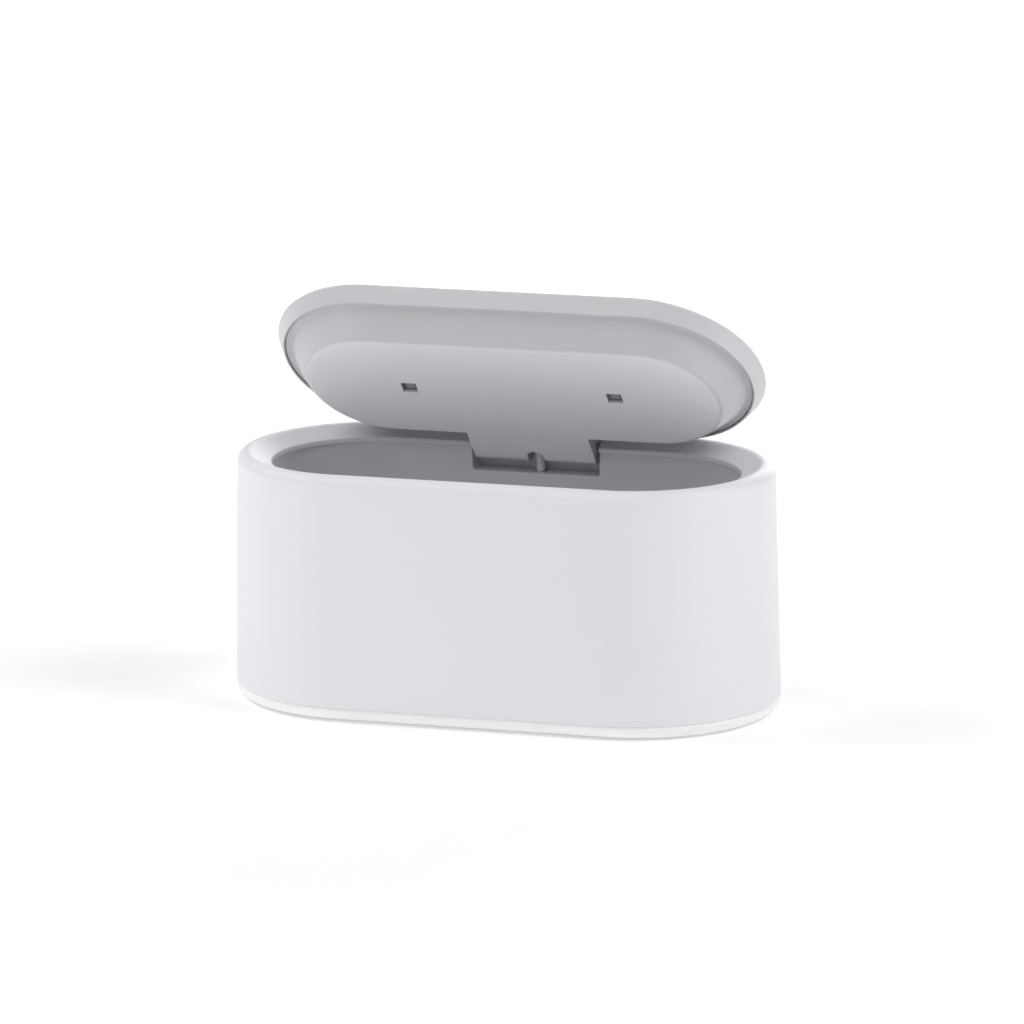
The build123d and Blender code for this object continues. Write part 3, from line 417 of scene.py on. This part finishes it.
def firedCeramic(name, look, ends=None):
    # sintered ceramic: smooth and slightly waxy, with a fine mottle
    material, tree, at = newMaterial(name)
    mottle = addNode(tree, "ShaderNodeTexNoise", {
        "Vector": at, "Scale": 1 / (look["mottleMm"] * mm), "Detail": 3.0})
    tone = addNode(tree, "ShaderNodeMix", {
        "Factor": mottle, "A": look["colour"], "B": look["colourDeep"]}, data_type="RGBA")
    tinned = 0.0
    if ends:
        # the two ends of each are dipped in silver and tinned
        place = addNode(tree, "ShaderNodeSeparateXYZ", {"Vector": at}).outputs["X"]
        inRow = addNode(tree, "ShaderNodeMath", {0: place, 1: ends["middleMm"] * mm},
                        operation="SUBTRACT")
        off = addNode(tree, "ShaderNodeMath", {0: inRow, 1: ends["pitchMm"] / 2 * mm},
                      operation="PINGPONG")
        tinned = addNode(tree, "ShaderNodeMapRange", {
            "Value": off, "From Min": ends["fromMm"] * mm,
            "From Max": (ends["fromMm"] + ends["edgeMm"]) * mm})
        tone = addNode(tree, "ShaderNodeMix", {
            "Factor": tinned, "A": tone, "B": ends["colour"]}, data_type="RGBA")
    return finishMaterial(material, look, tone, mottle, Metallic=tinned)


def polyimideRibbon(name, look):
    # clear amber film laminated over copper lines: the lines show through as darker stripes.
    # A wave texture of scale 1 repeats every pi / 10
    material, tree, at = newMaterial(name)
    wave = addNode(tree, "ShaderNodeTexWave", {
        "Vector": at, "Scale": pi / 10 / (look["pitchMm"] * mm)},
        wave_type="BANDS", bands_direction="X")
    stripe = addNode(tree, "ShaderNodeMapRange", {
        "Value": wave.outputs["Fac"], "From Min": look["between"], "From Max": look["onLine"]})
    tone = addNode(tree, "ShaderNodeMix", {
        "Factor": stripe, "A": look["colour"], "B": look["copper"]}, data_type="RGBA")
    return finishMaterial(material, look, tone, stripe)


foilLook = {"colour": "CDD0D4", "colourDeep": "BFC2C7", "film": "C98A2B", "creaseMm": 7.0,
            "filmMm": 4.5, "filmEdgeMm": 0.2, "metallic": 0.9, "gloss": (0.3, 0.44),
            "bump": 0.5, "reliefMm": 0.25}
boardLook = {"colour": "12492D", "trackColour": "1F6B43", "trackPitchMm": 5.0,
             "trackShare": 0.03, "speckleMm": 0.5, "gloss": (0.22, 0.32), "bump": 0.4,
             "reliefMm": 0.04, "turn": (0, 0, 0), "ior": 1.55, "coat": 0.4, "coatRoughness": 0.2}
sensorBoardLook = dict(boardLook, turn=(radians(90), 0, 0), trackPitchMm=3.2)
lampBoardLook = dict(boardLook, colour="E4E5E3", trackColour="F1F1EE", turn=(-lidTurn, 0, 0))
chipLook = {"colour": "131416", "colourDeep": "1C1D1F", "grainMm": 0.12, "gloss": (0.47, 0.63),
            "bump": 0.3, "reliefMm": 0.01, "ior": 1.55}
ferriteLook = dict(chipLook, colour="3A3B3E", colourDeep="4A4B4E", grainMm=0.2,
                   gloss=(0.62, 0.78))
capacitorLook = {"colour": "B08A5E", "colourDeep": "A27C52", "mottleMm": 0.3, "roughness": 0.38,
                 "bump": 0.1, "reliefMm": 0.01, "ior": 1.7, "depth": 0.1,
                 "scatter": (1.0, 0.8, 0.6), "scatterMm": 0.3}
# along the row: the middle of one, the next one's distance, and where the tinned end starts
capacitorEnds = {"colour": "C9CACD", "middleMm": -13.5, "pitchMm": 4.0, "fromMm": 0.62,
                 "edgeMm": 0.05}
aluminaLook = dict(capacitorLook, colour="ECEBE6", colourDeep="E2E1DB")
nylonLook = dict(linerLook, colour="E9E3D2", colourDeep="E2DBC8", gloss=(0.4, 0.44), depth=0.2)
ribbonLook = {"colour": "C9822A", "copper": "8F4F1E", "pitchMm": 0.6, "between": 0.35,
              "onLine": 0.65, "roughness": 0.25, "bump": 0.3, "reliefMm": 0.02, "ior": 1.7,
              "coat": 0.5, "coatRoughness": 0.12}
epoxy = mouldedEpoxy("moulded black epoxy", chipLook)
nylon = mouldedPlastic("moulded ivory nylon", nylonLook)
dress("battery_cell", pouchFoil("aluminium laminate pouch foil", foilLook))
dress("main_board", solderMask("green solder mask on glass epoxy", boardLook))
dress("sensor_board", solderMask("green solder mask on thin glass epoxy", sensorBoardLook))
dress("lamp_board", solderMask("white solder mask on aluminium", lampBoardLook))
for chip in ("control_chip", "charge_chip", "lid_sensor"):
    dress(chip, epoxy)
dress("power_inductor", mouldedEpoxy("pressed ferrite powder", ferriteLook))
dress("board_capacitors", firedCeramic("fired tan ceramic", capacitorLook, capacitorEnds))
dress("uv_lamps", firedCeramic("white alumina", aluminaLook))
dress("sensor_lead", polyimideRibbon("amber polyimide film", ribbonLook))
for connector in ("board_connectors", "lamp_connector"):
    dress(connector, nylon)
print("boards done")


# what repeats: screws, feet, leads and contacts, each set grown from its places

smoothUnder = radians(35)   # edges that turn less than this are shaded smooth


def newTree(name, *sizes):
    # points come in and finished geometry goes out, with a named input for each size
    tree = bpy.data.node_groups.new(name, "GeometryNodeTree")
    tree.interface.new_socket("Geometry", in_out="OUTPUT", socket_type="NodeSocketGeometry")
    tree.interface.new_socket("Places", in_out="INPUT", socket_type="NodeSocketGeometry")
    for size in sizes:
        tree.interface.new_socket(size, in_out="INPUT", socket_type="NodeSocketFloat")
    tree.interface.new_socket("Turn", in_out="INPUT", socket_type="NodeSocketVector")
    tree.interface.new_socket("Finish", in_out="INPUT", socket_type="NodeSocketMaterial")
    return tree, addNode(tree, "NodeGroupInput").outputs


def placeOnPoints(tree, sizes, shape):
    placed = addNode(tree, "GeometryNodeInstanceOnPoints", {
        "Points": sizes["Places"], "Instance": shape, "Rotation": sizes["Turn"]})
    solid = addNode(tree, "GeometryNodeRealizeInstances", {"Geometry": placed})
    finished = addNode(tree, "GeometryNodeSetMaterial", {
        "Geometry": solid, "Material": sizes["Finish"]})
    addNode(tree, "NodeGroupOutput", {"Geometry": finished})


def grow(name, tree, places, look, turn, finish):
    # the plain mesh that the tree makes on these places
    points = bpy.data.meshes.new(name + "Places")
    points.from_pydata(places, [], [])
    carrier = bpy.data.objects.new(name + "Places", points)
    bpy.context.scene.collection.objects.link(carrier)
    modifier = carrier.modifiers.new("grown", "NODES")
    modifier.node_group = tree
    wanted = {"Turn": turn, "Finish": finish}
    wanted.update({size: value * mm for size, value in look.items()})
    for item in tree.interface.items_tree:
        if item.in_out == "INPUT" and item.name in wanted:
            modifier[item.identifier] = wanted[item.name]
    depsgraph = bpy.context.evaluated_depsgraph_get()
    mesh = bpy.data.meshes.new_from_object(carrier.evaluated_get(depsgraph))
    carrier.modifiers.remove(modifier)
    bpy.data.objects.remove(carrier)
    mesh.shade_smooth()
    mesh.set_sharp_from_angle(angle=smoothUnder)
    piece = bpy.data.objects.new(name, mesh)
    bpy.context.scene.collection.objects.link(piece)
    return piece


# pan-head screw: a tapered head with a cross recess over a threaded shank, head up. The shares
# are of the head's radius or height, or of the shank's length
screwShape = {"headSides": 40, "headTaper": 0.8, "recessSpan": 1.1, "recessMiddle": 0.95,
              "shankSides": 24, "threadShare": 0.9, "threadFoot": -0.97, "threadSteps": 32,
              "ridgeSides": 6}
screwTree, screwSizes = newTree("pan-head screw", "Head Radius", "Head Height", "Shank Radius",
                                "Shank Length", "Thread Pitch", "Thread Depth", "Recess Width")
headTop = addNode(screwTree, "ShaderNodeMath", {
    0: screwSizes["Head Radius"], 1: screwShape["headTaper"]}, operation="MULTIPLY")
head = addNode(screwTree, "GeometryNodeMeshCone", {
    "Vertices": screwShape["headSides"], "Radius Top": headTop,
    "Radius Bottom": screwSizes["Head Radius"], "Depth": screwSizes["Head Height"]})
recessSpan = addNode(screwTree, "ShaderNodeMath", {
    0: screwSizes["Head Radius"], 1: screwShape["recessSpan"]}, operation="MULTIPLY")
recessMiddle = addNode(screwTree, "ShaderNodeMath", {
    0: screwSizes["Head Height"], 1: screwShape["recessMiddle"]}, operation="MULTIPLY")
recessAt = addNode(screwTree, "ShaderNodeCombineXYZ", {"Z": recessMiddle})
arms = []
for along, across in (("X", "Y"), ("Y", "X")):
    armSize = addNode(screwTree, "ShaderNodeCombineXYZ", {
        along: recessSpan, across: screwSizes["Recess Width"], "Z": screwSizes["Head Height"]})
    arm = addNode(screwTree, "GeometryNodeMeshCube", {"Size": armSize})
    arms.append(addNode(screwTree, "GeometryNodeTransform", {
        "Geometry": arm, "Translation": recessAt}))
cutHead = addNode(screwTree, "GeometryNodeMeshBoolean", {"Mesh 1": head, "Mesh 2": arms},
                  operation="DIFFERENCE", solver="EXACT")
core = addNode(screwTree, "ShaderNodeMath", {
    0: screwSizes["Shank Radius"], 1: screwSizes["Thread Depth"]}, operation="SUBTRACT")
shank = addNode(screwTree, "GeometryNodeMeshCylinder", {
    "Vertices": screwShape["shankSides"], "Radius": core, "Depth": screwSizes["Shank Length"]})
shankMiddle = addNode(screwTree, "ShaderNodeMath", {0: screwSizes["Shank Length"], 1: -0.5},
                      operation="MULTIPLY")
shankAt = addNode(screwTree, "ShaderNodeCombineXYZ", {"Z": shankMiddle})
setShank = addNode(screwTree, "GeometryNodeTransform", {
    "Geometry": shank, "Translation": shankAt})
threadLength = addNode(screwTree, "ShaderNodeMath", {
    0: screwSizes["Shank Length"], 1: screwShape["threadShare"]}, operation="MULTIPLY")
turns = addNode(screwTree, "ShaderNodeMath", {0: threadLength, 1: screwSizes["Thread Pitch"]},
                operation="DIVIDE")
helix = addNode(screwTree, "GeometryNodeCurveSpiral", {
    "Resolution": screwShape["threadSteps"], "Rotations": turns, "Start Radius": core,
    "End Radius": core, "Height": threadLength})
ridge = addNode(screwTree, "GeometryNodeCurvePrimitiveCircle", {
    "Resolution": screwShape["ridgeSides"], "Radius": screwSizes["Thread Depth"]}, mode="RADIUS")
thread = addNode(screwTree, "GeometryNodeCurveToMesh", {
    "Curve": helix, "Profile Curve": ridge, "Fill Caps": True})
threadFoot = addNode(screwTree, "ShaderNodeMath", {
    0: screwSizes["Shank Length"], 1: screwShape["threadFoot"]}, operation="MULTIPLY")
threadAt = addNode(screwTree, "ShaderNodeCombineXYZ", {"Z": threadFoot})
setThread = addNode(screwTree, "GeometryNodeTransform", {
    "Geometry": thread, "Translation": threadAt})
screw = addNode(screwTree, "GeometryNodeJoinGeometry", {"Geometry": [cutHead, setShank, setThread]})
placeOnPoints(screwTree, screwSizes, screw)

baseScrewLook = {"Head Radius": 1.9, "Head Height": 1.2, "Shank Radius": 0.95,
                 "Shank Length": 7.0, "Thread Pitch": 0.8, "Thread Depth": 0.18,
                 "Recess Width": 0.55}
boardScrewLook = {"Head Radius": 1.6, "Head Height": 0.8, "Shank Radius": 0.8,
                  "Shank Length": 3.6, "Thread Pitch": 0.7, "Thread Depth": 0.15,
                  "Recess Width": 0.45}
lampScrewLook = dict(boardScrewLook, **{"Shank Length": 3.2})


def cornerPlaces(nodeName, radius, height):
    # the middles of the four round pieces that fill a node's corners, at this height
    low, high = (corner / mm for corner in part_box(nodeName))
    return [Vector((x, y, height)) * mm for x in (low.x + radius, high.x - radius)
            for y in (low.y + radius, high.y - radius)]


coverSeat = 2.4    # heights where the heads bear, in millimetres
boardSeat = 6.0
screwSets = {
    "baseScrews": {
        "of": "base_screws", "look": baseScrewLook, "body": "case", "turn": (pi, 0, 0),
        "places": cornerPlaces("base_screws", baseScrewLook["Head Radius"], coverSeat)},
    "boardScrews": {
        "of": "board_screws", "look": boardScrewLook, "body": "case", "turn": (0, 0, 0),
        "places": cornerPlaces("board_screws", boardScrewLook["Head Radius"], boardSeat)},
}
lampScrewPoints = [v.co for v in nodes["lamp_board_screws"].data.vertices]
lampSeat = max(at.dot(lidUp) for at in lampScrewPoints) - lampScrewLook["Head Height"] * mm
alongLid = [at.dot(lidRear) for at in lampScrewPoints]
lampScrewX = max(at.x for at in lampScrewPoints) - lampScrewLook["Head Radius"] * mm
screwSets["lampScrews"] = {
    "of": "lamp_board_screws", "look": lampScrewLook, "body": "lid", "turn": (-lidTurn, 0, 0),
    "places": [Vector((x, 0, 0)) + lidUp * lampSeat + lidRear * (min(alongLid) + max(alongLid)) / 2
               for x in (-lampScrewX, lampScrewX)]}
for name, each in screwSets.items():
    screws = grow(name, screwTree, each["places"], each["look"], each["turn"], zincSteel)
    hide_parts(each["of"])
    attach(screws, each["body"])
print("screws done")

# rubber foot: a disc with a chamfered edge and fine moulded rings to grip the table
footShape = {"sides": 72, "ringSteps": 24, "edgeFrom": 0.99}   # the edge as a share of the radius
footTree, footSizes = newTree("ringed rubber foot", "Radius", "Height", "Ring Pitch",
                              "Ring Depth", "Edge Lift")
disc = addNode(footTree, "GeometryNodeMeshCylinder", {
    "Vertices": footShape["sides"], "Side Segments": 1, "Fill Segments": footShape["ringSteps"],
    "Radius": footSizes["Radius"], "Depth": footSizes["Height"]}).outputs
point = addNode(footTree, "GeometryNodeInputPosition")
flat = addNode(footTree, "ShaderNodeVectorMath", {0: point, 1: (1, 1, 0)}, operation="MULTIPLY")
fromMiddle = addNode(footTree, "ShaderNodeVectorMath", {0: flat},
                     operation="LENGTH").outputs["Value"]
inRings = addNode(footTree, "ShaderNodeMath", {0: fromMiddle, 1: footSizes["Ring Pitch"]},
                  operation="DIVIDE")
phase = addNode(footTree, "ShaderNodeMath", {0: inRings, 1: 2 * pi}, operation="MULTIPLY")
ripple = addNode(footTree, "ShaderNodeMath", {0: phase}, operation="SINE")
groove = addNode(footTree, "ShaderNodeMapRange", {
    "Value": ripple, "From Min": 0.0, "From Max": 1.0, "To Min": 0.0,
    "To Max": footSizes["Ring Depth"]})
edgeStart = addNode(footTree, "ShaderNodeMath", {
    0: footSizes["Radius"], 1: footShape["edgeFrom"]}, operation="MULTIPLY")
onEdge = addNode(footTree, "ShaderNodeMath", {0: fromMiddle, 1: edgeStart},
                 operation="GREATER_THAN")
edgeLift = addNode(footTree, "ShaderNodeMath", {0: onEdge, 1: footSizes["Edge Lift"]},
                   operation="MULTIPLY")
rise = addNode(footTree, "ShaderNodeMath", {0: groove, 1: edgeLift}, operation="MAXIMUM")
riseBy = addNode(footTree, "ShaderNodeCombineXYZ", {"Z": rise})
ringed = addNode(footTree, "GeometryNodeSetPosition", {
    "Geometry": disc["Mesh"], "Selection": disc["Bottom"], "Offset": riseBy})
placeOnPoints(footTree, footSizes, ringed)

footLook = {"Radius": 4.9, "Height": 1.2, "Ring Pitch": 1.62, "Ring Depth": 0.14,
            "Edge Lift": 0.2}
footPlaces = cornerPlaces("foot_pads", footLook["Radius"], footLook["Height"] / 2)
feet = grow("footPads", footTree, footPlaces, footLook, (0, 0, 0), footRubber)
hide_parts("foot_pads")
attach(feet, "case")
print("feet done")

# pairs of formed leads, one each side of a package, from its body down to the board
leadShape = {"root": 0.48, "bendSteps": 10}   # the root as a share of the body's width
leadTree, leadSizes = newTree("gull-wing leads", "Span", "Rise", "Reach", "Width", "Thickness")
root = addNode(leadTree, "ShaderNodeMath", {0: leadSizes["Span"], 1: leadShape["root"]},
               operation="MULTIPLY")
toe = addNode(leadTree, "ShaderNodeMath", {0: root, 1: leadSizes["Reach"]}, operation="ADD")
rootAndToe = addNode(leadTree, "ShaderNodeMath", {0: root, 1: toe}, operation="ADD")
knee = addNode(leadTree, "ShaderNodeMath", {0: rootAndToe, 1: 0.5}, operation="MULTIPLY")
sole = addNode(leadTree, "ShaderNodeMath", {0: leadSizes["Thickness"], 1: 0.5},
               operation="MULTIPLY")
corners = [addNode(leadTree, "ShaderNodeCombineXYZ", {"Y": y, "Z": z}) for y, z in (
    (root, leadSizes["Rise"]), (knee, leadSizes["Rise"]), (knee, sole), (toe, sole))]
bentLine = addNode(leadTree, "GeometryNodeCurvePrimitiveBezierSegment", {
    "Resolution": leadShape["bendSteps"], "Start": corners[0], "Start Handle": corners[1],
    "End Handle": corners[2], "End": corners[3]}, mode="POSITION")
strip = addNode(leadTree, "GeometryNodeCurvePrimitiveQuadrilateral", {
    "Width": leadSizes["Width"], "Height": leadSizes["Thickness"]})
oneLead = addNode(leadTree, "GeometryNodeCurveToMesh", {
    "Curve": bentLine, "Profile Curve": strip, "Fill Caps": True})
twinLead = addNode(leadTree, "GeometryNodeTransform", {
    "Geometry": oneLead, "Rotation": (0, 0, pi)})
leadPair = addNode(leadTree, "GeometryNodeJoinGeometry", {"Geometry": [oneLead, twinLead]})
placeOnPoints(leadTree, leadSizes, leadPair)

chipLeadLook = {"Span": 3.9, "Rise": 0.75, "Reach": 0.95, "Width": 0.42, "Thickness": 0.18}
plugLeadLook = {"Span": 4.0, "Rise": 0.5, "Reach": 0.9, "Width": 0.5, "Thickness": 0.2}
chipLeadPitch = 1.27
plugLeadPitch = 2.0
plugMiddles = [(10.4, 6.0), (17.0, 6.0), (13.0, 17.04)]   # of the three plugs on the main board
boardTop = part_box("main_board")[1].z
chipLow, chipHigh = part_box("charge_chip")
chipMiddle = (chipLow + chipHigh) / 2
chipLeadPlaces = [(chipMiddle.x + step * chipLeadPitch * mm, chipMiddle.y, boardTop)
                  for step in (-1.5, -0.5, 0.5, 1.5)]
plugLeadPlaces = [((x + step * plugLeadPitch) * mm, y * mm, boardTop)
                  for x, y in plugMiddles for step in (-0.5, 0.5)]
chipLeads = grow("chargeChipLeads", leadTree, chipLeadPlaces, chipLeadLook, (0, 0, 0), tinPlate)
plugLeads = grow("plugLeads", leadTree, plugLeadPlaces, plugLeadLook, (0, 0, 0), tinPlate)
for leads in (chipLeads, plugLeads):
    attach(leads, "case")

# contact strips on both faces of the socket's tongue
contactTree, contactSizes = newTree("tongue contacts", "Gap", "Width", "Length", "Thickness")
barSize = addNode(contactTree, "ShaderNodeCombineXYZ", {
    "X": contactSizes["Width"], "Y": contactSizes["Length"], "Z": contactSizes["Thickness"]})
bar = addNode(contactTree, "GeometryNodeMeshCube", {"Size": barSize})
faces = []
for share in (0.5, -0.5):
    fromTongue = addNode(contactTree, "ShaderNodeMath", {0: contactSizes["Gap"], 1: share},
                         operation="MULTIPLY")
    faceAt = addNode(contactTree, "ShaderNodeCombineXYZ", {"Z": fromTongue})
    faces.append(addNode(contactTree, "GeometryNodeTransform", {
        "Geometry": bar, "Translation": faceAt}))
bothFaces = addNode(contactTree, "GeometryNodeJoinGeometry", {"Geometry": faces})
placeOnPoints(contactTree, contactSizes, bothFaces)

contactLook = {"Gap": 0.7, "Width": 0.27, "Length": 3.2, "Thickness": 0.05}
contactRow = {"count": 12, "pitchMm": 0.5, "behindMouthMm": 2.2}
rowMiddle = Vector((0, socketHigh.y - contactRow["behindMouthMm"] * mm, socketLook["centre"].z))
rowSteps = [step - (contactRow["count"] - 1) / 2 for step in range(contactRow["count"])]
contactPlaces = [rowMiddle + Vector((step * contactRow["pitchMm"] * mm, 0, 0))
                 for step in rowSteps]
contacts = grow("socketContacts", contactTree, contactPlaces, contactLook, (0, 0, 0), goldPlate)
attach(contacts, "case")
print("contacts done")


# lead across the hinge, from the lamp board down to the main board

lidLeadLook = {
    "radiusMm": 1.0,
    "routeMm": [
        (0.36, 12.78, 66.12),
        (0.36, 15.51, 63.20),
        (0.36, 17.23, 57.96),
        (0.36, 25.04, 49.58),
        (0.36, 25.38, 38.14),
        (0.36, 26.10, 14.0),
        (13.0, 26.10, 7.6),
        (13.0, 19.04, 7.6),
    ],
    "lidEndMm": (0.36, 22.65, 52.14),   # where the lead leaves the lid
    "caseEndMm": (0.36, 25.15, 45.6),   # where the lead enters the case
    "steps": 16,   # from one point of the route to the next
    "sides": 20,
    "weldMm": 0.001,
    "smoothUnderDeg": 50,
}


def roundLead(name, look, material):
    curve = bpy.data.curves.new(name + "Line", "CURVE")
    curve.dimensions = "3D"
    line = curve.splines.new("NURBS")
    line.points.add(len(look["routeMm"]) - 1)
    for point, at in zip(line.points, look["routeMm"]):
        point.co = (*(value * mm for value in at), 1.0)
    line.order_u = 3
    line.use_endpoint_u = True
    curve.resolution_u = look["steps"]
    curve.bevel_depth = look["radiusMm"] * mm
    curve.bevel_resolution = (look["sides"] - 4) // 2   # each step adds two sides to four
    curve.use_fill_caps = True
    drawn = bpy.data.objects.new(name + "Line", curve)
    bpy.context.scene.collection.objects.link(drawn)
    depsgraph = bpy.context.evaluated_depsgraph_get()
    mesh = bpy.data.meshes.new_from_object(drawn.evaluated_get(depsgraph))
    bpy.data.objects.remove(drawn)
    # the caps come apart from the tube, so they are joined to it
    shape = bmesh.new()
    shape.from_mesh(mesh)
    bmesh.ops.remove_doubles(shape, verts=shape.verts, dist=look["weldMm"] * mm)
    shape.to_mesh(mesh)
    shape.free()
    mesh.materials.clear()
    mesh.materials.append(material)
    mesh.shade_smooth()
    mesh.set_sharp_from_angle(angle=radians(look["smoothUnderDeg"]))
    lead = bpy.data.objects.new(name, mesh)
    bpy.context.scene.collection.objects.link(lead)
    return lead


lidLead = roundLead("lidLead", lidLeadLook, leadJacket)
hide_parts("lid_lead")
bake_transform(lidLead)
print("lead done")


# camera, at the height of someone looking at the case on a table

cameraLook = {"azimuth": 17.257, "elevation": 12.985, "roll": -0.638, "lensMm": 251.70,
              "sensorMm": 36.0, "targetMm": (1.428, 0.0, 41.09), "distanceMm": 1534.97,
              "clip": (0.05, 20.0)}
turn, tilt, roll = (radians(cameraLook[angle]) for angle in ("azimuth", "elevation", "roll"))
back = Vector((sin(turn) * cos(tilt), -cos(turn) * cos(tilt), sin(tilt)))
right = Vector((cos(turn), sin(turn), 0))
up = back.cross(right)
rolledRight = right * cos(roll) + up * sin(roll)
rolledUp = up * cos(roll) - right * sin(roll)
cameraData = bpy.data.cameras.new("camera")
cameraData.lens = cameraLook["lensMm"]
cameraData.sensor_width = cameraLook["sensorMm"]
cameraData.clip_start, cameraData.clip_end = cameraLook["clip"]
camera = bpy.data.objects.new("camera", cameraData)
eye = Vector(cameraLook["targetMm"]) * mm + back * cameraLook["distanceMm"] * mm
camera.matrix_world = Matrix((
    (rolledRight.x, rolledUp.x, back.x, eye.x),
    (rolledRight.y, rolledUp.y, back.y, eye.y),
    (rolledRight.z, rolledUp.z, back.z, eye.z),
    (0, 0, 0, 1)))
bpy.context.scene.collection.objects.link(camera)
bpy.context.scene.camera = camera


# floor and light

def paperSweep(name, look):
    # matt paper: no gloss, the faintest fibre, lit through so that it stays white
    material, tree, at = newMaterial(name)
    fibre = addNode(tree, "ShaderNodeTexNoise", {
        "Vector": at, "Scale": 1 / (look["fibreMm"] * mm), "Detail": 2.0})
    return finishMaterial(material, look, look["colour"], fibre,
                          **{"Emission Color": "FFFFFF", "Emission Strength": look["glow"]})


floorLook = {"colour": "F7F7F7", "glow": 0.2, "roughness": 0.9, "fibreMm": 0.6, "bump": 0.05,
             "reliefMm": 0.02, "halfWidth": 4.0, "dropMm": 0.05}
far = floorLook["halfWidth"]
level = -floorLook["dropMm"] * mm   # just clear of the feet
floorMesh = bpy.data.meshes.new("floor")
floorMesh.from_pydata([(-far, -far, level), (far, -far, level), (far, far, level),
                       (-far, far, level)], [], [(0, 1, 2, 3)])
floorMesh.materials.append(paperSweep("matte white paper sweep", floorLook))
floor = bpy.data.objects.new("floor", floorMesh)
bpy.context.scene.collection.objects.link(floor)

# the room itself is dark: all the light comes from the softboxes and the paper
world = bpy.data.worlds.new("studio")
bpy.context.scene.world = world
world.use_nodes = True
world.node_tree.nodes["Background"].inputs["Strength"].default_value = 0.0

softboxes = {
    "topFront": {"at": (-0.2, -0.9, 0.95), "size": 0.8, "watts": 4.4},
    "topLeft": {"at": (-0.9, 0.0, 0.9), "size": 0.8, "watts": 6.7},
    "topRight": {"at": (0.9, 0.0, 0.9), "size": 0.8, "watts": 8.0},
    "right": {"at": (1.2, 0.0, 0.3), "size": 0.8, "watts": 1.9},
    "rear": {"at": (0.0, 1.2, 0.4), "size": 0.8, "watts": 6.4},
    "rearLeft": {"at": (-0.85, 0.85, 0.4), "size": 0.8, "watts": 2.2},
    "frontLow": {"at": (-0.3, -2.1, 0.1), "size": 0.8, "watts": 4.0},
    "cardLeft": {"at": (-0.4, -0.45, 0.03), "size": 0.12, "watts": 0.4},
}
aimedAt = Vector((0, 0, 0.04))   # the middle of the case
for name, look in softboxes.items():
    lightData = bpy.data.lights.new(name, "AREA")
    lightData.shape = "SQUARE"
    lightData.size = look["size"]
    lightData.energy = look["watts"]
    light = bpy.data.objects.new(name, lightData)
    light.location = look["at"]
    light.rotation_mode = "QUATERNION"
    light.rotation_quaternion = (aimedAt - Vector(look["at"])).to_track_quat("-Z", "Y")
    bpy.context.scene.collection.objects.link(light)
bpy.context.scene.view_settings.view_transform = "Standard"
print("camera and light done")
